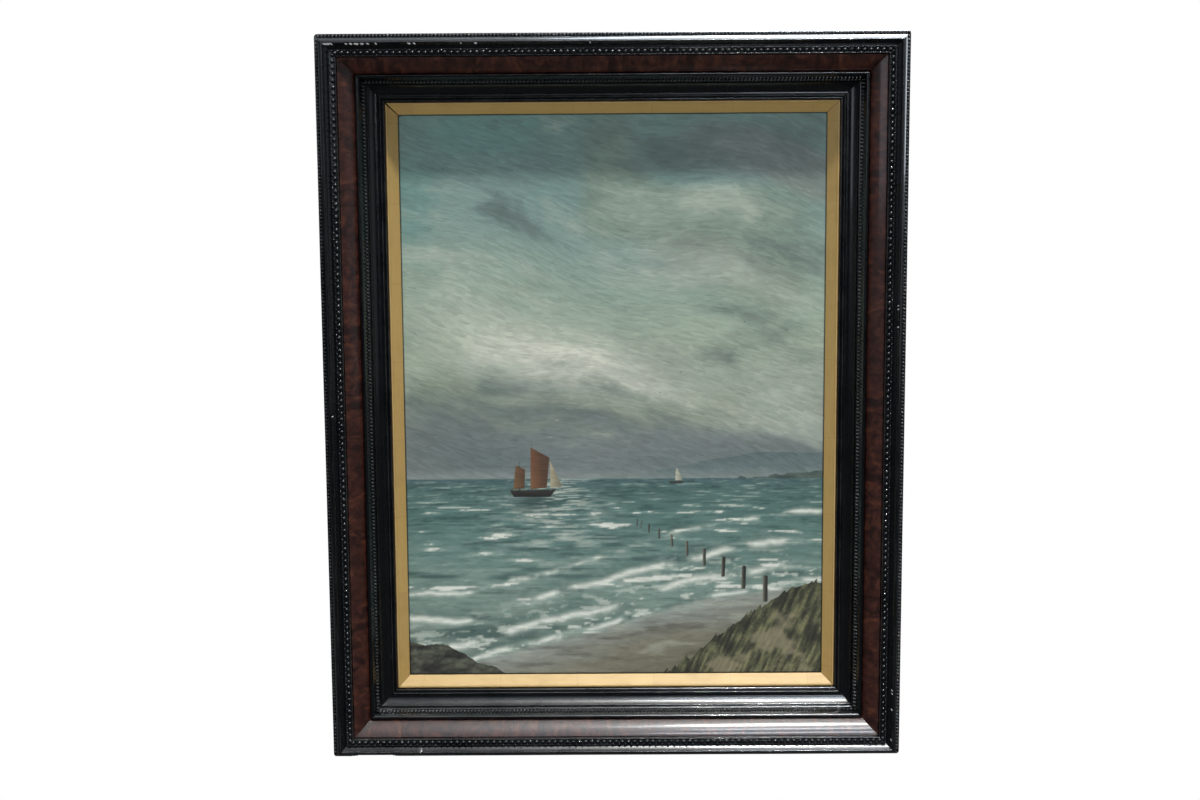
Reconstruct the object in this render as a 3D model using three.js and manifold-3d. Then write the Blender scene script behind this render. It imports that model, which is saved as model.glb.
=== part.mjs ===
// A framed oil painting that hangs on a wall: a stretched canvas in a gilt slip, inside a mitred
// frame built up from an inner ebonised moulding, a burr-veneered band and a deep outer moulding.
//
// Units are millimetres and +Z is up. The picture faces -Y, and the frame's back lies in the
// plane Y = 0. The origin is the point that the frame hangs from: on the back of the top rail,
// halfway along it and halfway across the veneered band.

import * as THREE from "three";
import { mergeVertices } from "three/addons/utils/BufferGeometryUtils.js";
import Module from "manifold-3d";

const wasm = await Module();
wasm.setup();

// ---- Driving dimensions -------------------------------------------------------------------

const CANVAS = { width: 457.2, height: 609.6, thickness: 0.8, front: 19.0 };
const OVERLAP = 5.2;            // how far the slip covers the canvas all round
const SLIP_WIDTH = 11.3;        // seen width of the slip, from its sight edge to its outer edge
const SLIP_FRONT = 30.0;        // height of the slip's outer edge above the wall
const RAIL_WIDTH = 67.4;        // from the slip's outer edge to the frame's outer edge
const JOINT_GAP = 0.3;          // hairline gap left between pieces that meet
const BAND = { inner: 27.4, outer: 42.4 };
const STRETCHER = { width: 44.0, thickness: 16.5 };
const CORNER_RADIUS = 2.5;      // outer corners of the frame, rounded by handling
const CURVE_SEGMENTS = 5;       // facets along each curve of a moulding

// Large carved beads: their pitch, the row's place across the rail, its floor's height above the
// wall at the inner edge and the floor's rise outwards, and each bead's height above the floor.
const BEADS = { pitch: 6.46, inner: 44.0, width: 5.2, floor: 72.8, slope: 0.3, crown: 2.0 };

// Half sizes of the opening that the slip's outer edge bounds. Sections count their distances
// outwards from that edge.
const OPENING = {
  x: CANVAS.width / 2 - OVERLAP + SLIP_WIDTH,
  z: CANVAS.height / 2 - OVERLAP + SLIP_WIDTH,
};
const HANG_LINE = (BAND.inner + BAND.outer) / 2;

// ---- Finishes -----------------------------------------------------------------------------

const EBONISED = new THREE.MeshStandardMaterial({ color: 0x15181b, roughness: 0.32, metalness: 0 });
const BURR = new THREE.MeshStandardMaterial({ color: 0x4b2a20, roughness: 0.35, metalness: 0 });
const GILT = new THREE.MeshStandardMaterial({ color: 0xc9b07c, roughness: 0.48, metalness: 0.5 });
const PINE = new THREE.MeshStandardMaterial({ color: 0xb3905f, roughness: 0.75, metalness: 0 });
const PAINT = new THREE.MeshStandardMaterial({ color: 0x8b9b95, roughness: 0.45, metalness: 0 });

// ---- Sections -----------------------------------------------------------------------------
// A section's x is the distance outwards from the slip's outer edge, and its y is the height
// above the wall.

// Gilt slip: a thin sight edge, a slope up to a small outer fillet, a tongue that goes under the
// inner moulding's lip, and a rebate at the back that holds the canvas.
function slipSection() {
  const sight = -SLIP_WIDTH;
  const sightFront = 20.9;
  const sightBack = CANVAS.front + 0.6;
  const arris = 0.5;
  const fillet = 1.5;
  const rebateWall = sight + OVERLAP + 1.0;
  const back = 8.0;
  const tongueTop = SLIP_FRONT - 3.2;
  const tongueReach = 3.9;
  const s = new THREE.Shape();
  s.moveTo(sight, sightBack);
  s.lineTo(rebateWall, sightBack);
  s.lineTo(rebateWall, back);
  s.lineTo(tongueReach, back);
  s.lineTo(tongueReach, tongueTop);
  s.lineTo(0, tongueTop);
  s.lineTo(0, SLIP_FRONT);
  s.lineTo(-fillet, SLIP_FRONT);
  s.lineTo(-fillet, SLIP_FRONT - 0.7);
  s.lineTo(sight + arris, sightFront);
  s.lineTo(sight, sightFront - arris);
  s.closePath();
  return s;
}

// Inner moulding: a rounded lip over the slip, a small fillet, a hollow, a second fillet, a steep
// half-round where the small pearls sit, and a last round beside the veneer.
function innerSection() {
  const h = SLIP_FRONT;
  const lip = { start: 1.1, under: h - 2.9, wall: 4.2 };
  const outer = BAND.inner - JOINT_GAP;
  const s = new THREE.Shape();
  s.moveTo(lip.wall, 0);
  s.lineTo(outer, 0);
  s.lineTo(outer, h + 24.4);
  s.bezierCurveTo(26.3, h + 28.2, 22.8, h + 27.6, 22.2, h + 24.0);
  s.bezierCurveTo(19.9, h + 24.2, 17.9, h + 18.9, 19.3, h + 15.2);
  s.lineTo(19.0, h + 14.5);
  s.lineTo(18.0, h + 14.0);
  s.lineTo(17.9, h + 9.3);
  s.lineTo(17.2, h + 9.8);
  s.quadraticCurveTo(11.0, h + 1.9, 6.1, h + 3.7);
  s.lineTo(5.7, h + 4.4);
  s.lineTo(4.6, h + 4.4);
  s.lineTo(4.3, h + 1.8);
  s.lineTo(1.9, h + 2.8);
  s.lineTo(lip.start, h + 2.2);
  s.lineTo(lip.start, lip.under);
  s.lineTo(lip.wall, lip.under);
  s.closePath();
  return s;
}

// Veneered band: a slightly swelling face that climbs from the inner to the outer moulding.
function bandSection() {
  const h = SLIP_FRONT;
  const s = new THREE.Shape();
  s.moveTo(BAND.inner, 0);
  s.lineTo(BAND.outer, 0);
  s.lineTo(BAND.outer, h + 37.6);
  s.quadraticCurveTo(34.0, h + 33.2, BAND.inner, h + 24.4);
  s.closePath();
  return s;
}

// Outer moulding: a wall and fillet beside the veneer, the floor of the bead row, a groove, a
// ridge with a straight inner slope and a full outer one, a half-round where the outer pearls
// sit, and a plain flat side.
function outerSection() {
  const h = SLIP_FRONT;
  const inner = BAND.outer + JOINT_GAP;
  const floorEnd = BEADS.inner + BEADS.width + 0.1;
  const floorRise = BEADS.slope * (BEADS.width + 0.1);
  const s = new THREE.Shape();
  s.moveTo(inner, 0);
  s.lineTo(RAIL_WIDTH, 0);
  s.lineTo(RAIL_WIDTH, h + 2.2);
  s.lineTo(66.6, h + 3.0);
  s.lineTo(66.6, h + 20.3);
  s.bezierCurveTo(68.0, h + 23.0, 65.8, h + 27.6, 63.3, h + 26.0);
  s.lineTo(63.0, h + 26.8);
  s.bezierCurveTo(62.6, h + 31.0, 61.0, h + 43.5, 57.2, h + 47.0);
  s.bezierCurveTo(56.5, h + 48.38, 55.3, h + 48.38, 54.8, h + 47.0);
  s.lineTo(50.2, h + 42.3);
  s.lineTo(49.7, h + 42.3);
  s.lineTo(floorEnd, BEADS.floor + floorRise);
  s.lineTo(BEADS.inner, BEADS.floor);
  s.lineTo(43.6, h + 43.4);
  s.lineTo(43.0, h + 43.4);
  s.lineTo(inner, h + 42.9);
  s.closePath();
  return s;
}

// Stretcher bar: a plain rectangle that stays a joint's gap behind the canvas.
function stretcherSection() {
  const outer = OVERLAP - SLIP_WIDTH - 2 * JOINT_GAP;
  const front = CANVAS.front - CANVAS.thickness - JOINT_GAP;
  const s = new THREE.Shape();
  s.moveTo(outer - STRETCHER.width, front - STRETCHER.thickness);
  s.lineTo(outer, front - STRETCHER.thickness);
  s.lineTo(outer, front);
  s.lineTo(outer - STRETCHER.width, front);
  s.closePath();
  return s;
}

// ---- Solids -------------------------------------------------------------------------------

// Turns a three.js geometry into a solid: only positions are kept, and shared vertices merge.
function toSolid(geometry) {
  geometry.deleteAttribute("normal");
  geometry.deleteAttribute("uv");
  const merged = mergeVertices(geometry, 1e-4);
  return new wasm.Manifold(new wasm.Mesh({
    numProp: 3,
    vertProperties: new Float32Array(merged.getAttribute("position").array),
    triVerts: new Uint32Array(merged.getIndex().array),
  }));
}

function toGeometry(solid) {
  const mesh = solid.getMesh();
  const geometry = new THREE.BufferGeometry();
  geometry.setAttribute("position", new THREE.BufferAttribute(mesh.vertProperties, 3));
  geometry.setIndex(new THREE.BufferAttribute(mesh.triVerts, 1));
  geometry.computeVertexNormals();
  return geometry;
}

// ---- Rails --------------------------------------------------------------------------------
// A rail lies along X above the middle of the picture: its section's distance runs along +Z and
// its height along -Y. Quarter turns about Y give the four sides. span.run is half the opening's
// length beside the rail, and span.rise is the opening's half size towards the rail.

const SECTION_TO_RAIL = new THREE.Matrix4().makeBasis(
  new THREE.Vector3(0, 0, 1), new THREE.Vector3(0, -1, 0), new THREE.Vector3(1, 0, 0),
);

// A section extruded along the whole rail and past both mitres.
function straightRail(section, span) {
  const length = 2 * (span.run + RAIL_WIDTH);
  const geometry = new THREE.ExtrudeGeometry(section, {
    depth: length, bevelEnabled: false, curveSegments: CURVE_SEGMENTS,
  });
  geometry.translate(0, 0, -length / 2);
  geometry.applyMatrix4(SECTION_TO_RAIL);
  geometry.translate(0, 0, span.rise);
  return toSolid(geometry);
}

// The row of large beads as one bar with a wavy front, extruded across the row and tilted to its
// floor. Heights in the outline are above the floor.
function beadBar(span) {
  const count = 2 * Math.ceil((span.run + BEADS.inner + BEADS.width) / BEADS.pitch);
  const end = (count * BEADS.pitch) / 2;
  const root = -1.3;
  const valley = 0.2;
  const outline = new THREE.Shape();
  outline.moveTo(end, root);
  outline.lineTo(end, valley);
  for (let bead = count - 1; bead >= 0; bead -= 1) {
    const left = bead * BEADS.pitch - end;
    outline.lineTo(left + 0.72 * BEADS.pitch, BEADS.crown);
    outline.lineTo(left + 0.28 * BEADS.pitch, BEADS.crown);
    outline.lineTo(left, valley);
  }
  outline.lineTo(-end, root);
  outline.closePath();
  const bar = new THREE.ExtrudeGeometry(outline, { depth: BEADS.width, bevelEnabled: false });
  bar.rotateZ(Math.PI);
  bar.rotateX(Math.atan(BEADS.slope));
  bar.translate(0, -BEADS.floor, span.rise + BEADS.inner);
  return toSolid(bar);
}

// The block that a rail may fill: both ends are mitred, and the frame's outer corners are round.
function mitreBlock(span) {
  const inward = -60;
  const endGap = JOINT_GAP / Math.SQRT2;
  const right = [new THREE.Vector2(span.run + inward - endGap, span.rise + inward)];
  const centre = RAIL_WIDTH - CORNER_RADIUS;
  for (const angle of [Math.PI / 4, Math.PI * 0.375, Math.PI / 2]) {
    right.push(new THREE.Vector2(
      span.run + centre + CORNER_RADIUS * Math.cos(angle) - endGap,
      span.rise + centre + CORNER_RADIUS * Math.sin(angle),
    ));
  }
  const left = right.map((point) => new THREE.Vector2(-point.x, point.y)).reverse();
  const depth = 90;
  const block = new THREE.ExtrudeGeometry(new THREE.Shape([...right, ...left]), {
    depth, bevelEnabled: false,
  });
  block.rotateX(Math.PI / 2);
  block.translate(0, 5, 0);
  return toSolid(block);
}

const RAIL_KINDS = [
  { name: "outer_moulding", section: outerSection(), material: EBONISED, beaded: true },
  { name: "veneered_band", section: bandSection(), material: BURR, beaded: false },
  { name: "inner_moulding", section: innerSection(), material: EBONISED, beaded: false },
  { name: "gilt_slip", section: slipSection(), material: GILT, beaded: false },
  { name: "stretcher_bar", section: stretcherSection(), material: PINE, beaded: false },
];

const SIDES = [
  { name: "top", turn: 0, span: { run: OPENING.x, rise: OPENING.z } },
  { name: "right", turn: Math.PI / 2, span: { run: OPENING.z, rise: OPENING.x } },
  { name: "bottom", turn: Math.PI, span: { run: OPENING.x, rise: OPENING.z } },
  { name: "left", turn: -Math.PI / 2, span: { run: OPENING.z, rise: OPENING.x } },
];

function railMesh(kind, side) {
  let solid = straightRail(kind.section, side.span);
  if (kind.beaded) {
    solid = solid.add(beadBar(side.span));
  }
  const mesh = new THREE.Mesh(toGeometry(solid.intersect(mitreBlock(side.span))), kind.material);
  mesh.name = `${kind.name}_${side.name}`;
  return mesh;
}

// ---- Assembly -----------------------------------------------------------------------------

function paintedCanvas() {
  const sheet = new THREE.BoxGeometry(CANVAS.width, CANVAS.thickness, CANVAS.height);
  const mesh = new THREE.Mesh(sheet, PAINT);
  mesh.name = "painted_canvas";
  mesh.position.y = CANVAS.thickness / 2 - CANVAS.front;
  return mesh;
}

const framedPainting = new THREE.Group();
const picture = new THREE.Group();
picture.position.z = -(OPENING.z + HANG_LINE);
framedPainting.add(picture);

for (const side of SIDES) {
  const rails = new THREE.Group();
  rails.rotation.y = side.turn;
  for (const kind of RAIL_KINDS) {
    rails.add(railMesh(kind, side));
  }
  picture.add(rails);
}
picture.add(paintedCanvas());

export default framedPainting;
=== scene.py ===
"""The looks of a framed oil painting that hangs on a wall.

An upright coastal view in oils on stretched canvas sits in a gilt slip, inside a mitred frame of
an inner ebonised moulding, a burr-veneered band and a deep outer moulding with carved beads.
Lengths in the classes are millimetres, and a height is a distance forward from the wall. Each
side of the frame is worked out as a top rail and then turned about the picture's centre.
"""
import logging
import math
from dataclasses import dataclass, field
from enum import Enum

import bpy
import numpy as np
from mathutils import Matrix, Vector


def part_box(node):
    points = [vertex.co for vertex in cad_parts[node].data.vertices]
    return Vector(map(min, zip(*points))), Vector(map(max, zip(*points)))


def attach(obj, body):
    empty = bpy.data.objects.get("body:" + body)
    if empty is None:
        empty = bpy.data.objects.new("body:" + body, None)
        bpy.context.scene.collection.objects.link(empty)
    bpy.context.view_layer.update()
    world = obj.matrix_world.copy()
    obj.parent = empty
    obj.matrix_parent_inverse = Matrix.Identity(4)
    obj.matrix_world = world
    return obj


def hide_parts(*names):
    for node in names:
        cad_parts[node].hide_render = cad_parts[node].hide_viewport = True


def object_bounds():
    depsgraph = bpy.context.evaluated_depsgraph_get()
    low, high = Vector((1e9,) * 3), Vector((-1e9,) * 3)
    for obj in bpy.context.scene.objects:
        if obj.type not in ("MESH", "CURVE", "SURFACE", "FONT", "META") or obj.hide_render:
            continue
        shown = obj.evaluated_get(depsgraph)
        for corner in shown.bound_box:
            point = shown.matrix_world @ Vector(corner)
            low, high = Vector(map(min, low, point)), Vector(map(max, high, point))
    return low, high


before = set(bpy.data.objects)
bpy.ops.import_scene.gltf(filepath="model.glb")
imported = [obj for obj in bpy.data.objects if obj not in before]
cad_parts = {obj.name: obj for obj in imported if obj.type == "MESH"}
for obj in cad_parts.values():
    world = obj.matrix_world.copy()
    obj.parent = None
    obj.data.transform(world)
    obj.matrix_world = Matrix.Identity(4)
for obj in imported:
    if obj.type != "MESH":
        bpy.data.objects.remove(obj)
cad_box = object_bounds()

LOG = logging.getLogger("framed_painting")
MM = 0.001

Array = np.ndarray
Point = tuple[float, float]
Faces = list[tuple[Array, Array]]
Piece = bpy.types.Object
Material = bpy.types.Material
Socket = bpy.types.NodeSocket
Amount = bpy.types.NodeSocket | float
Sockets = dict[str | int, object]


# ---- Shared helpers ------------------------------------------------------------------------


def linear(colour: str, alpha: float = 1.0) -> tuple[float, float, float, float]:
    """Turns an sRGB hex value into linear light.

    Args:
        colour: six hex digits after a hash.
        alpha: the fourth channel.

    Returns:
        Red, green, blue and alpha.
    """
    channels = [int(colour[i:i + 2], 16) / 255 for i in (1, 3, 5)]
    return *(c / 12.92 if c <= 0.04045 else ((c + 0.055) / 1.055) ** 2.4 for c in channels), alpha


def paint(colour: str) -> Array:
    """Gives an sRGB hex value as a row of three linear channels."""
    return np.array(linear(colour)[:3])


def add_node(
    tree: bpy.types.NodeTree,
    kind: str,
    sockets: Sockets | None = None,
    stops: list[tuple[float, str]] | None = None,
    **settings: object,
) -> bpy.types.Node:
    """Adds one node with its settings, values and links.

    Args:
        tree: the node tree that the node joins.
        kind: the node's type name.
        sockets: what goes into each input, by name or index: a value, or an output to link.
        stops: places and colours of a colour ramp.
        settings: the node's own properties.

    Returns:
        The new node.
    """
    node = tree.nodes.new(kind)
    for name, value in settings.items():
        setattr(node, name, value)
    for index, (place, colour) in enumerate(stops or []):
        elements = node.color_ramp.elements
        element = elements[index] if index < 2 else elements.new(place)
        element.position = place
        element.color = linear(colour)
    for key, value in (sockets or {}).items():
        if isinstance(value, bpy.types.NodeSocket):
            tree.links.new(value, node.inputs[key])
        else:
            node.inputs[key].default_value = value
    return node


class Nodes:
    """The nodes of one material or world: each method adds a node and gives its output.

    An amount is a number or another node's output, and a colour is a hex value or an output.
    """

    def __init__(self, owner: Material | bpy.types.World) -> None:
        """Empties the owner's tree.

        Args:
            owner: the material or world that the nodes belong to.
        """
        owner.use_nodes = True
        self.owner = owner
        self.tree = owner.node_tree
        self.tree.nodes.clear()

    def add(self, kind: str, sockets: Sockets, output: str | int = 0, **settings: object) -> Socket:
        """Adds a shader node of a kind and gives one of its outputs."""
        return add_node(self.tree, "ShaderNode" + kind, sockets, **settings).outputs[output]

    def point_value(self, name: str, output: str = "Fac") -> Socket:
        """Reads a number, or a vector, that the mesh keeps at its points."""
        return self.add("Attribute", {}, output, attribute_name=name)

    def place(self) -> Socket:
        """Gives the place in the object's own space, in metres."""
        return self.add("TexCoord", {}, "Object")

    def surface(self) -> Socket:
        """Gives the distances along and across the piece, in metres."""
        return self.add("UVMap", {}, uv_map="Surface")

    def stretched(self, place: Socket, along: float, across: float) -> Socket:
        """Multiplies a place along and across."""
        return self.add("Mapping", {"Vector": place, "Scale": (along, across, 1)})

    def noise(self, place: Socket, scale: float, detail: float, **more: float) -> Socket:
        """Adds cloudy noise, with a roughness or a distortion if more has them."""
        named = {key.capitalize(): value for key, value in more.items()}
        return self.add("TexNoise", {"Vector": place, "Scale": scale, "Detail": detail} | named)

    def weave(self, place: Socket, scale: float, distortion: float = 0.0) -> Socket:
        """Crosses threads: the product of a wave across and a wave up."""
        sockets = {"Vector": place, "Scale": scale, "Distortion": distortion}
        return self.times(*(self.add("TexWave", sockets, "Fac", bands_direction=axis) for axis in "XZ"))

    def maths(self, operation: str, *amounts: Amount) -> Socket:
        """Combines amounts by a Math node's operation."""
        return self.add("Math", dict(enumerate(amounts)), operation=operation)

    def times(self, first: Amount, second: Amount) -> Socket:
        """Multiplies two amounts."""
        return self.maths("MULTIPLY", first, second)

    def times_plus(self, first: Amount, second: Amount, base: Amount) -> Socket:
        """Multiplies two amounts and adds a base."""
        return self.maths("MULTIPLY_ADD", first, second, base)

    def spread(
        self, value: Amount, low: float, high: float, start: float = 0.0, end: float = 1.0,
        how: str = "LINEAR",
    ) -> Socket:
        """Carries an amount that runs from low to high onto start to end, and holds it there."""
        return self.add("MapRange", {"Value": value, "From Min": low, "From Max": high, "To Min": start,
                                     "To Max": end}, interpolation_type=how)

    def mix(self, share: Amount, first: Socket | str, second: Socket | str, how: str = "MIX") -> Socket:
        """Mixes two colours by a share. Inputs 6 and 7 and output 2 of a Mix node are colours."""
        first, second = (linear(side) if isinstance(side, str) else side for side in (first, second))
        return self.add("Mix", {0: share, 6: first, 7: second}, 2, data_type="RGBA", blend_type=how)

    def finished(
        self, colour: Socket, roughness: Amount, relief: Socket, strength: float, depth: float,
        **more: float,
    ) -> Material:
        """Shades the surface.

        Args:
            colour: the surface's colour.
            roughness: how matt it is.
            relief: the height that the bump follows.
            strength: the bump's strength.
            depth: the bump's depth in metres.
            more: further inputs of the shader, with an underscore for each space.

        Returns:
            The material.
        """
        bump = self.add("Bump", {"Height": relief, "Strength": strength, "Distance": depth})
        sockets = {"Base Color": colour, "Roughness": roughness, "Normal": bump}
        sockets |= {key.replace("_", " "): value for key, value in more.items()}
        shader = self.add("BsdfPrincipled", sockets)
        add_node(self.tree, "ShaderNodeOutputMaterial", {"Surface": shader})
        return self.owner


def placed(name: str, data: bpy.types.ID) -> Piece:
    """Makes an object at the origin and puts it in the scene.

    Args:
        name: the object's name.
        data: its mesh, lamp or camera.

    Returns:
        The object.
    """
    piece = bpy.data.objects.new(name, data)
    bpy.context.scene.collection.objects.link(piece)
    return piece


def smoothstep(low: float, high: float, value: Array) -> Array:
    """Rises smoothly from 0 at low to 1 at high: 3t^2 - 2t^3 of the clamped fraction t."""
    t = np.clip((value - low) / (high - low), 0.0, 1.0)
    return t * t * (3.0 - 2.0 * t)


def lattice_noise(x: Array, y: Array, seed: int) -> Array:
    """Smooth value noise: random numbers at whole coordinates, blended by smoothstep between them.

    Args:
        x: first coordinates.
        y: second coordinates.
        seed: picks the table of random numbers.

    Returns:
        Values from -1 to 1.
    """
    table = np.random.default_rng(seed).uniform(-1.0, 1.0, (256, 256))
    column, row = np.floor(x).astype(int), np.floor(y).astype(int)
    fx, fy = x - column, y - row
    fx, fy = fx * fx * (3 - 2 * fx), fy * fy * (3 - 2 * fy)
    near, far = column % 256, (column + 1) % 256
    low, high = row % 256, (row + 1) % 256
    lower = table[low, near] * (1 - fx) + table[low, far] * fx
    upper = table[high, near] * (1 - fx) + table[high, far] * fx
    return lower * (1 - fy) + upper * fy


def cloud_noise(x: Array, y: Array, seed: int, octaves: int = 5) -> Array:
    """Sums octaves of lattice noise, each at twice the frequency and about half the strength.

    Args:
        x: first coordinates.
        y: second coordinates.
        seed: picks the random numbers.
        octaves: how many octaves are summed.

    Returns:
        Values from -1 to 1.
    """
    total, strength, reach = np.zeros_like(x), 1.0, 0.0
    for octave in range(octaves):
        shift, finer = 17.3 * octave, 2 ** octave
        total = total + strength * lattice_noise(x * finer + shift, y * finer - shift, seed + octave)
        reach += strength
        strength *= 0.52
    return total / reach


def runs(stops: tuple[float, ...], counts: tuple[int, ...]) -> Array:
    """Divides the stretches between stops, each into its own number of even steps."""
    parts = [np.linspace(a, b, count + 1)[:-1] for a, b, count in zip(stops, stops[1:], counts)]
    return np.append(np.concatenate(parts), stops[-1])


# ---- Sections ------------------------------------------------------------------------------


class Zone(Enum):
    """Which finish a stretch of a section carries, as the material's place on the mesh."""

    FACE = 0
    CARCASS = 1


@dataclass
class Section:
    """A closed outline across a rail: distance outwards from the slip's outer edge, and height.

    Curves and lines are drawn in steps of about curve_step and line_step. A corner sharper than
    crisp_turn gets an arris, which takes at most a share of the edges beside it.
    """

    points: list[Point]
    zones: list[Zone] = field(default_factory=list)
    curve_step: float = 0.45
    line_step: float = 2.2
    arris: float = 0.28
    arris_share: float = 0.35
    crisp_turn: float = math.radians(20)

    def line(self, *ends: Point, zone: Zone = Zone.FACE) -> "Section":
        """Adds straight stretches to each of the ends in turn.

        Args:
            ends: where each stretch ends.
            zone: the finish that the stretches carry.

        Returns:
            The section, to be drawn on.
        """
        for end in ends:
            start = np.array(self.points[-1])
            count = max(1, int(np.linalg.norm(np.array(end) - start) / self.line_step))
            for fraction in np.linspace(0, 1, count + 1)[1:]:
                self.points.append(tuple(start + (np.array(end) - start) * fraction))
                self.zones.append(zone)
        return self

    def curve(self, *controls: Point) -> "Section":
        """Adds a Bezier curve through the last point, bent by the controls, to the last control.

        Args:
            controls: the points that bend the curve, then its end.

        Returns:
            The section, to be drawn on.
        """
        knots = np.array([self.points[-1], *controls])
        degree = len(knots) - 1
        span = np.linalg.norm(np.diff(knots, axis=0), axis=1).sum()
        for t in np.linspace(0, 1, max(4, int(span / self.curve_step)) + 1)[1:]:
            powers = [(i, degree - i) for i in range(degree + 1)]
            weights = [math.comb(degree, i) * t ** i * (1 - t) ** rest for i, rest in powers]
            self.points.append(tuple(np.array(weights) @ knots))
            self.zones.append(Zone.FACE)
        return self

    def outline(self) -> tuple[Array, Array]:
        """Rounds each crisp corner by a small arris and gives the closed outline.

        The corner is cut back along both its edges, and a quadratic curve joins the cuts.

        Returns:
            The points, and for each the zone of the edge that leaves it.
        """
        closed = np.allclose(self.points[0], self.points[-1])
        corners = np.array(self.points[:-1] if closed else self.points)
        zones = [zone.value for zone in self.zones]
        zones += [zones[-1]] * (len(corners) - len(zones))
        before, after = np.roll(corners, 1, axis=0), np.roll(corners, -1, axis=0)
        rounded, kept = [], []
        for last, here, following, zone in zip(before, corners, after, zones):
            to_last, to_next = last - here, following - here
            long_last, long_next = np.linalg.norm(to_last), np.linalg.norm(to_next)
            cosine = -(to_last @ to_next) / (long_last * long_next)
            if cosine > math.cos(self.crisp_turn):
                rounded.append(here)
                kept.append(zone)
                continue
            cut = min(self.arris, self.arris_share * long_last, self.arris_share * long_next)
            first, second = here + to_last * cut / long_last, here + to_next * cut / long_next
            rounded += [first, 0.25 * first + 0.5 * here + 0.25 * second, second]
            kept += [zone, zone, zone]
        return np.array(rounded), np.array(kept)


# The bell that averages an outline's roundness: its reach along the outline and its area, in mm.
BELL_REACH, BELL_AREA = 0.9, 1.6


def turning_sense(outline: Array) -> float:
    """Gives 1 for an outline that runs anticlockwise and -1 for one that runs clockwise."""
    after = np.roll(outline, -1, axis=0)
    return math.copysign(1.0, np.sum(outline[:, 0] * after[:, 1] - outline[:, 1] * after[:, 0]))


def outline_measures(outline: Array) -> tuple[Array, Array, Array]:
    """Measures a closed outline at its points.

    The normal is the average edge direction turned a quarter. The roundness is the turning angle
    per millimetre, averaged over a few neighbours, above 0 where the outline swells outwards.

    Args:
        outline: the closed outline's points.

    Returns:
        Outward normals, distance along the outline, and roundness.
    """
    edges = np.roll(outline, -1, axis=0) - outline
    lengths = np.linalg.norm(edges, axis=1)
    back = np.roll(edges, 1, axis=0)
    sense = turning_sense(outline)
    cross = back[:, 0] * edges[:, 1] - back[:, 1] * edges[:, 0]
    turn = np.arctan2(cross, np.sum(back * edges, axis=1))
    tangent = edges / lengths[:, None] + back / np.roll(lengths, 1)[:, None]
    tangent /= np.maximum(np.linalg.norm(tangent, axis=1), 1e-9)[:, None]
    normal = sense * np.stack([tangent[:, 1], -tangent[:, 0]], axis=1)
    along = np.concatenate([[0.0], np.cumsum(lengths)[:-1]])
    gap = np.abs(along[:, None] - along[None, :])
    weight = np.exp(-(gap / BELL_REACH) ** 2)
    return normal, along, sense * (weight @ turn) / BELL_AREA


# ---- Rails ---------------------------------------------------------------------------------


class Side(Enum):
    """The frame's four sides, each with its number of quarter turns from the top."""

    top = 0
    right = 1
    bottom = 2
    left = 3


@dataclass(frozen=True)
class Opening:
    """The opening bounded by the slip's outer edge: half sizes, centre height and joint gap."""

    half_width: float
    half_height: float
    centre: float
    gap: float = 0.3

    def run(self, side: Side) -> float:
        """Half the opening's length beside a rail."""
        return self.half_width if side in (Side.top, Side.bottom) else self.half_height

    def rise(self, side: Side) -> float:
        """The opening's half size towards a rail."""
        return self.half_height if side in (Side.top, Side.bottom) else self.half_width

    def reach(self, side: Side, out: float | Array) -> float | Array:
        """Half a rail's length at a distance outwards, short of the mitre by half the joint gap."""
        return self.run(side) + out - self.gap / math.sqrt(2)

    def place(self, side: Side, along: Array, out: Array, height: Array) -> Array:
        """Turns rail coordinates into places in the frame.

        A top rail has x = along, y = -height and z = rise + out. Quarter turns about the
        picture's middle carry it to the other sides.

        Args:
            side: the side of the frame.
            along: distances along the rail from its middle.
            out: distances outwards from the slip's outer edge.
            height: heights above the wall.

        Returns:
            One row of x, y and z in metres for each point.
        """
        cosine, sine = [(1, 0), (0, 1), (-1, 0), (0, -1)][side.value]
        rise = self.rise(side) + out
        x = along * cosine + rise * sine
        z = rise * cosine - along * sine + self.centre
        return np.stack([x, -height, z], axis=-1).reshape(-1, 3) * MM


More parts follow.
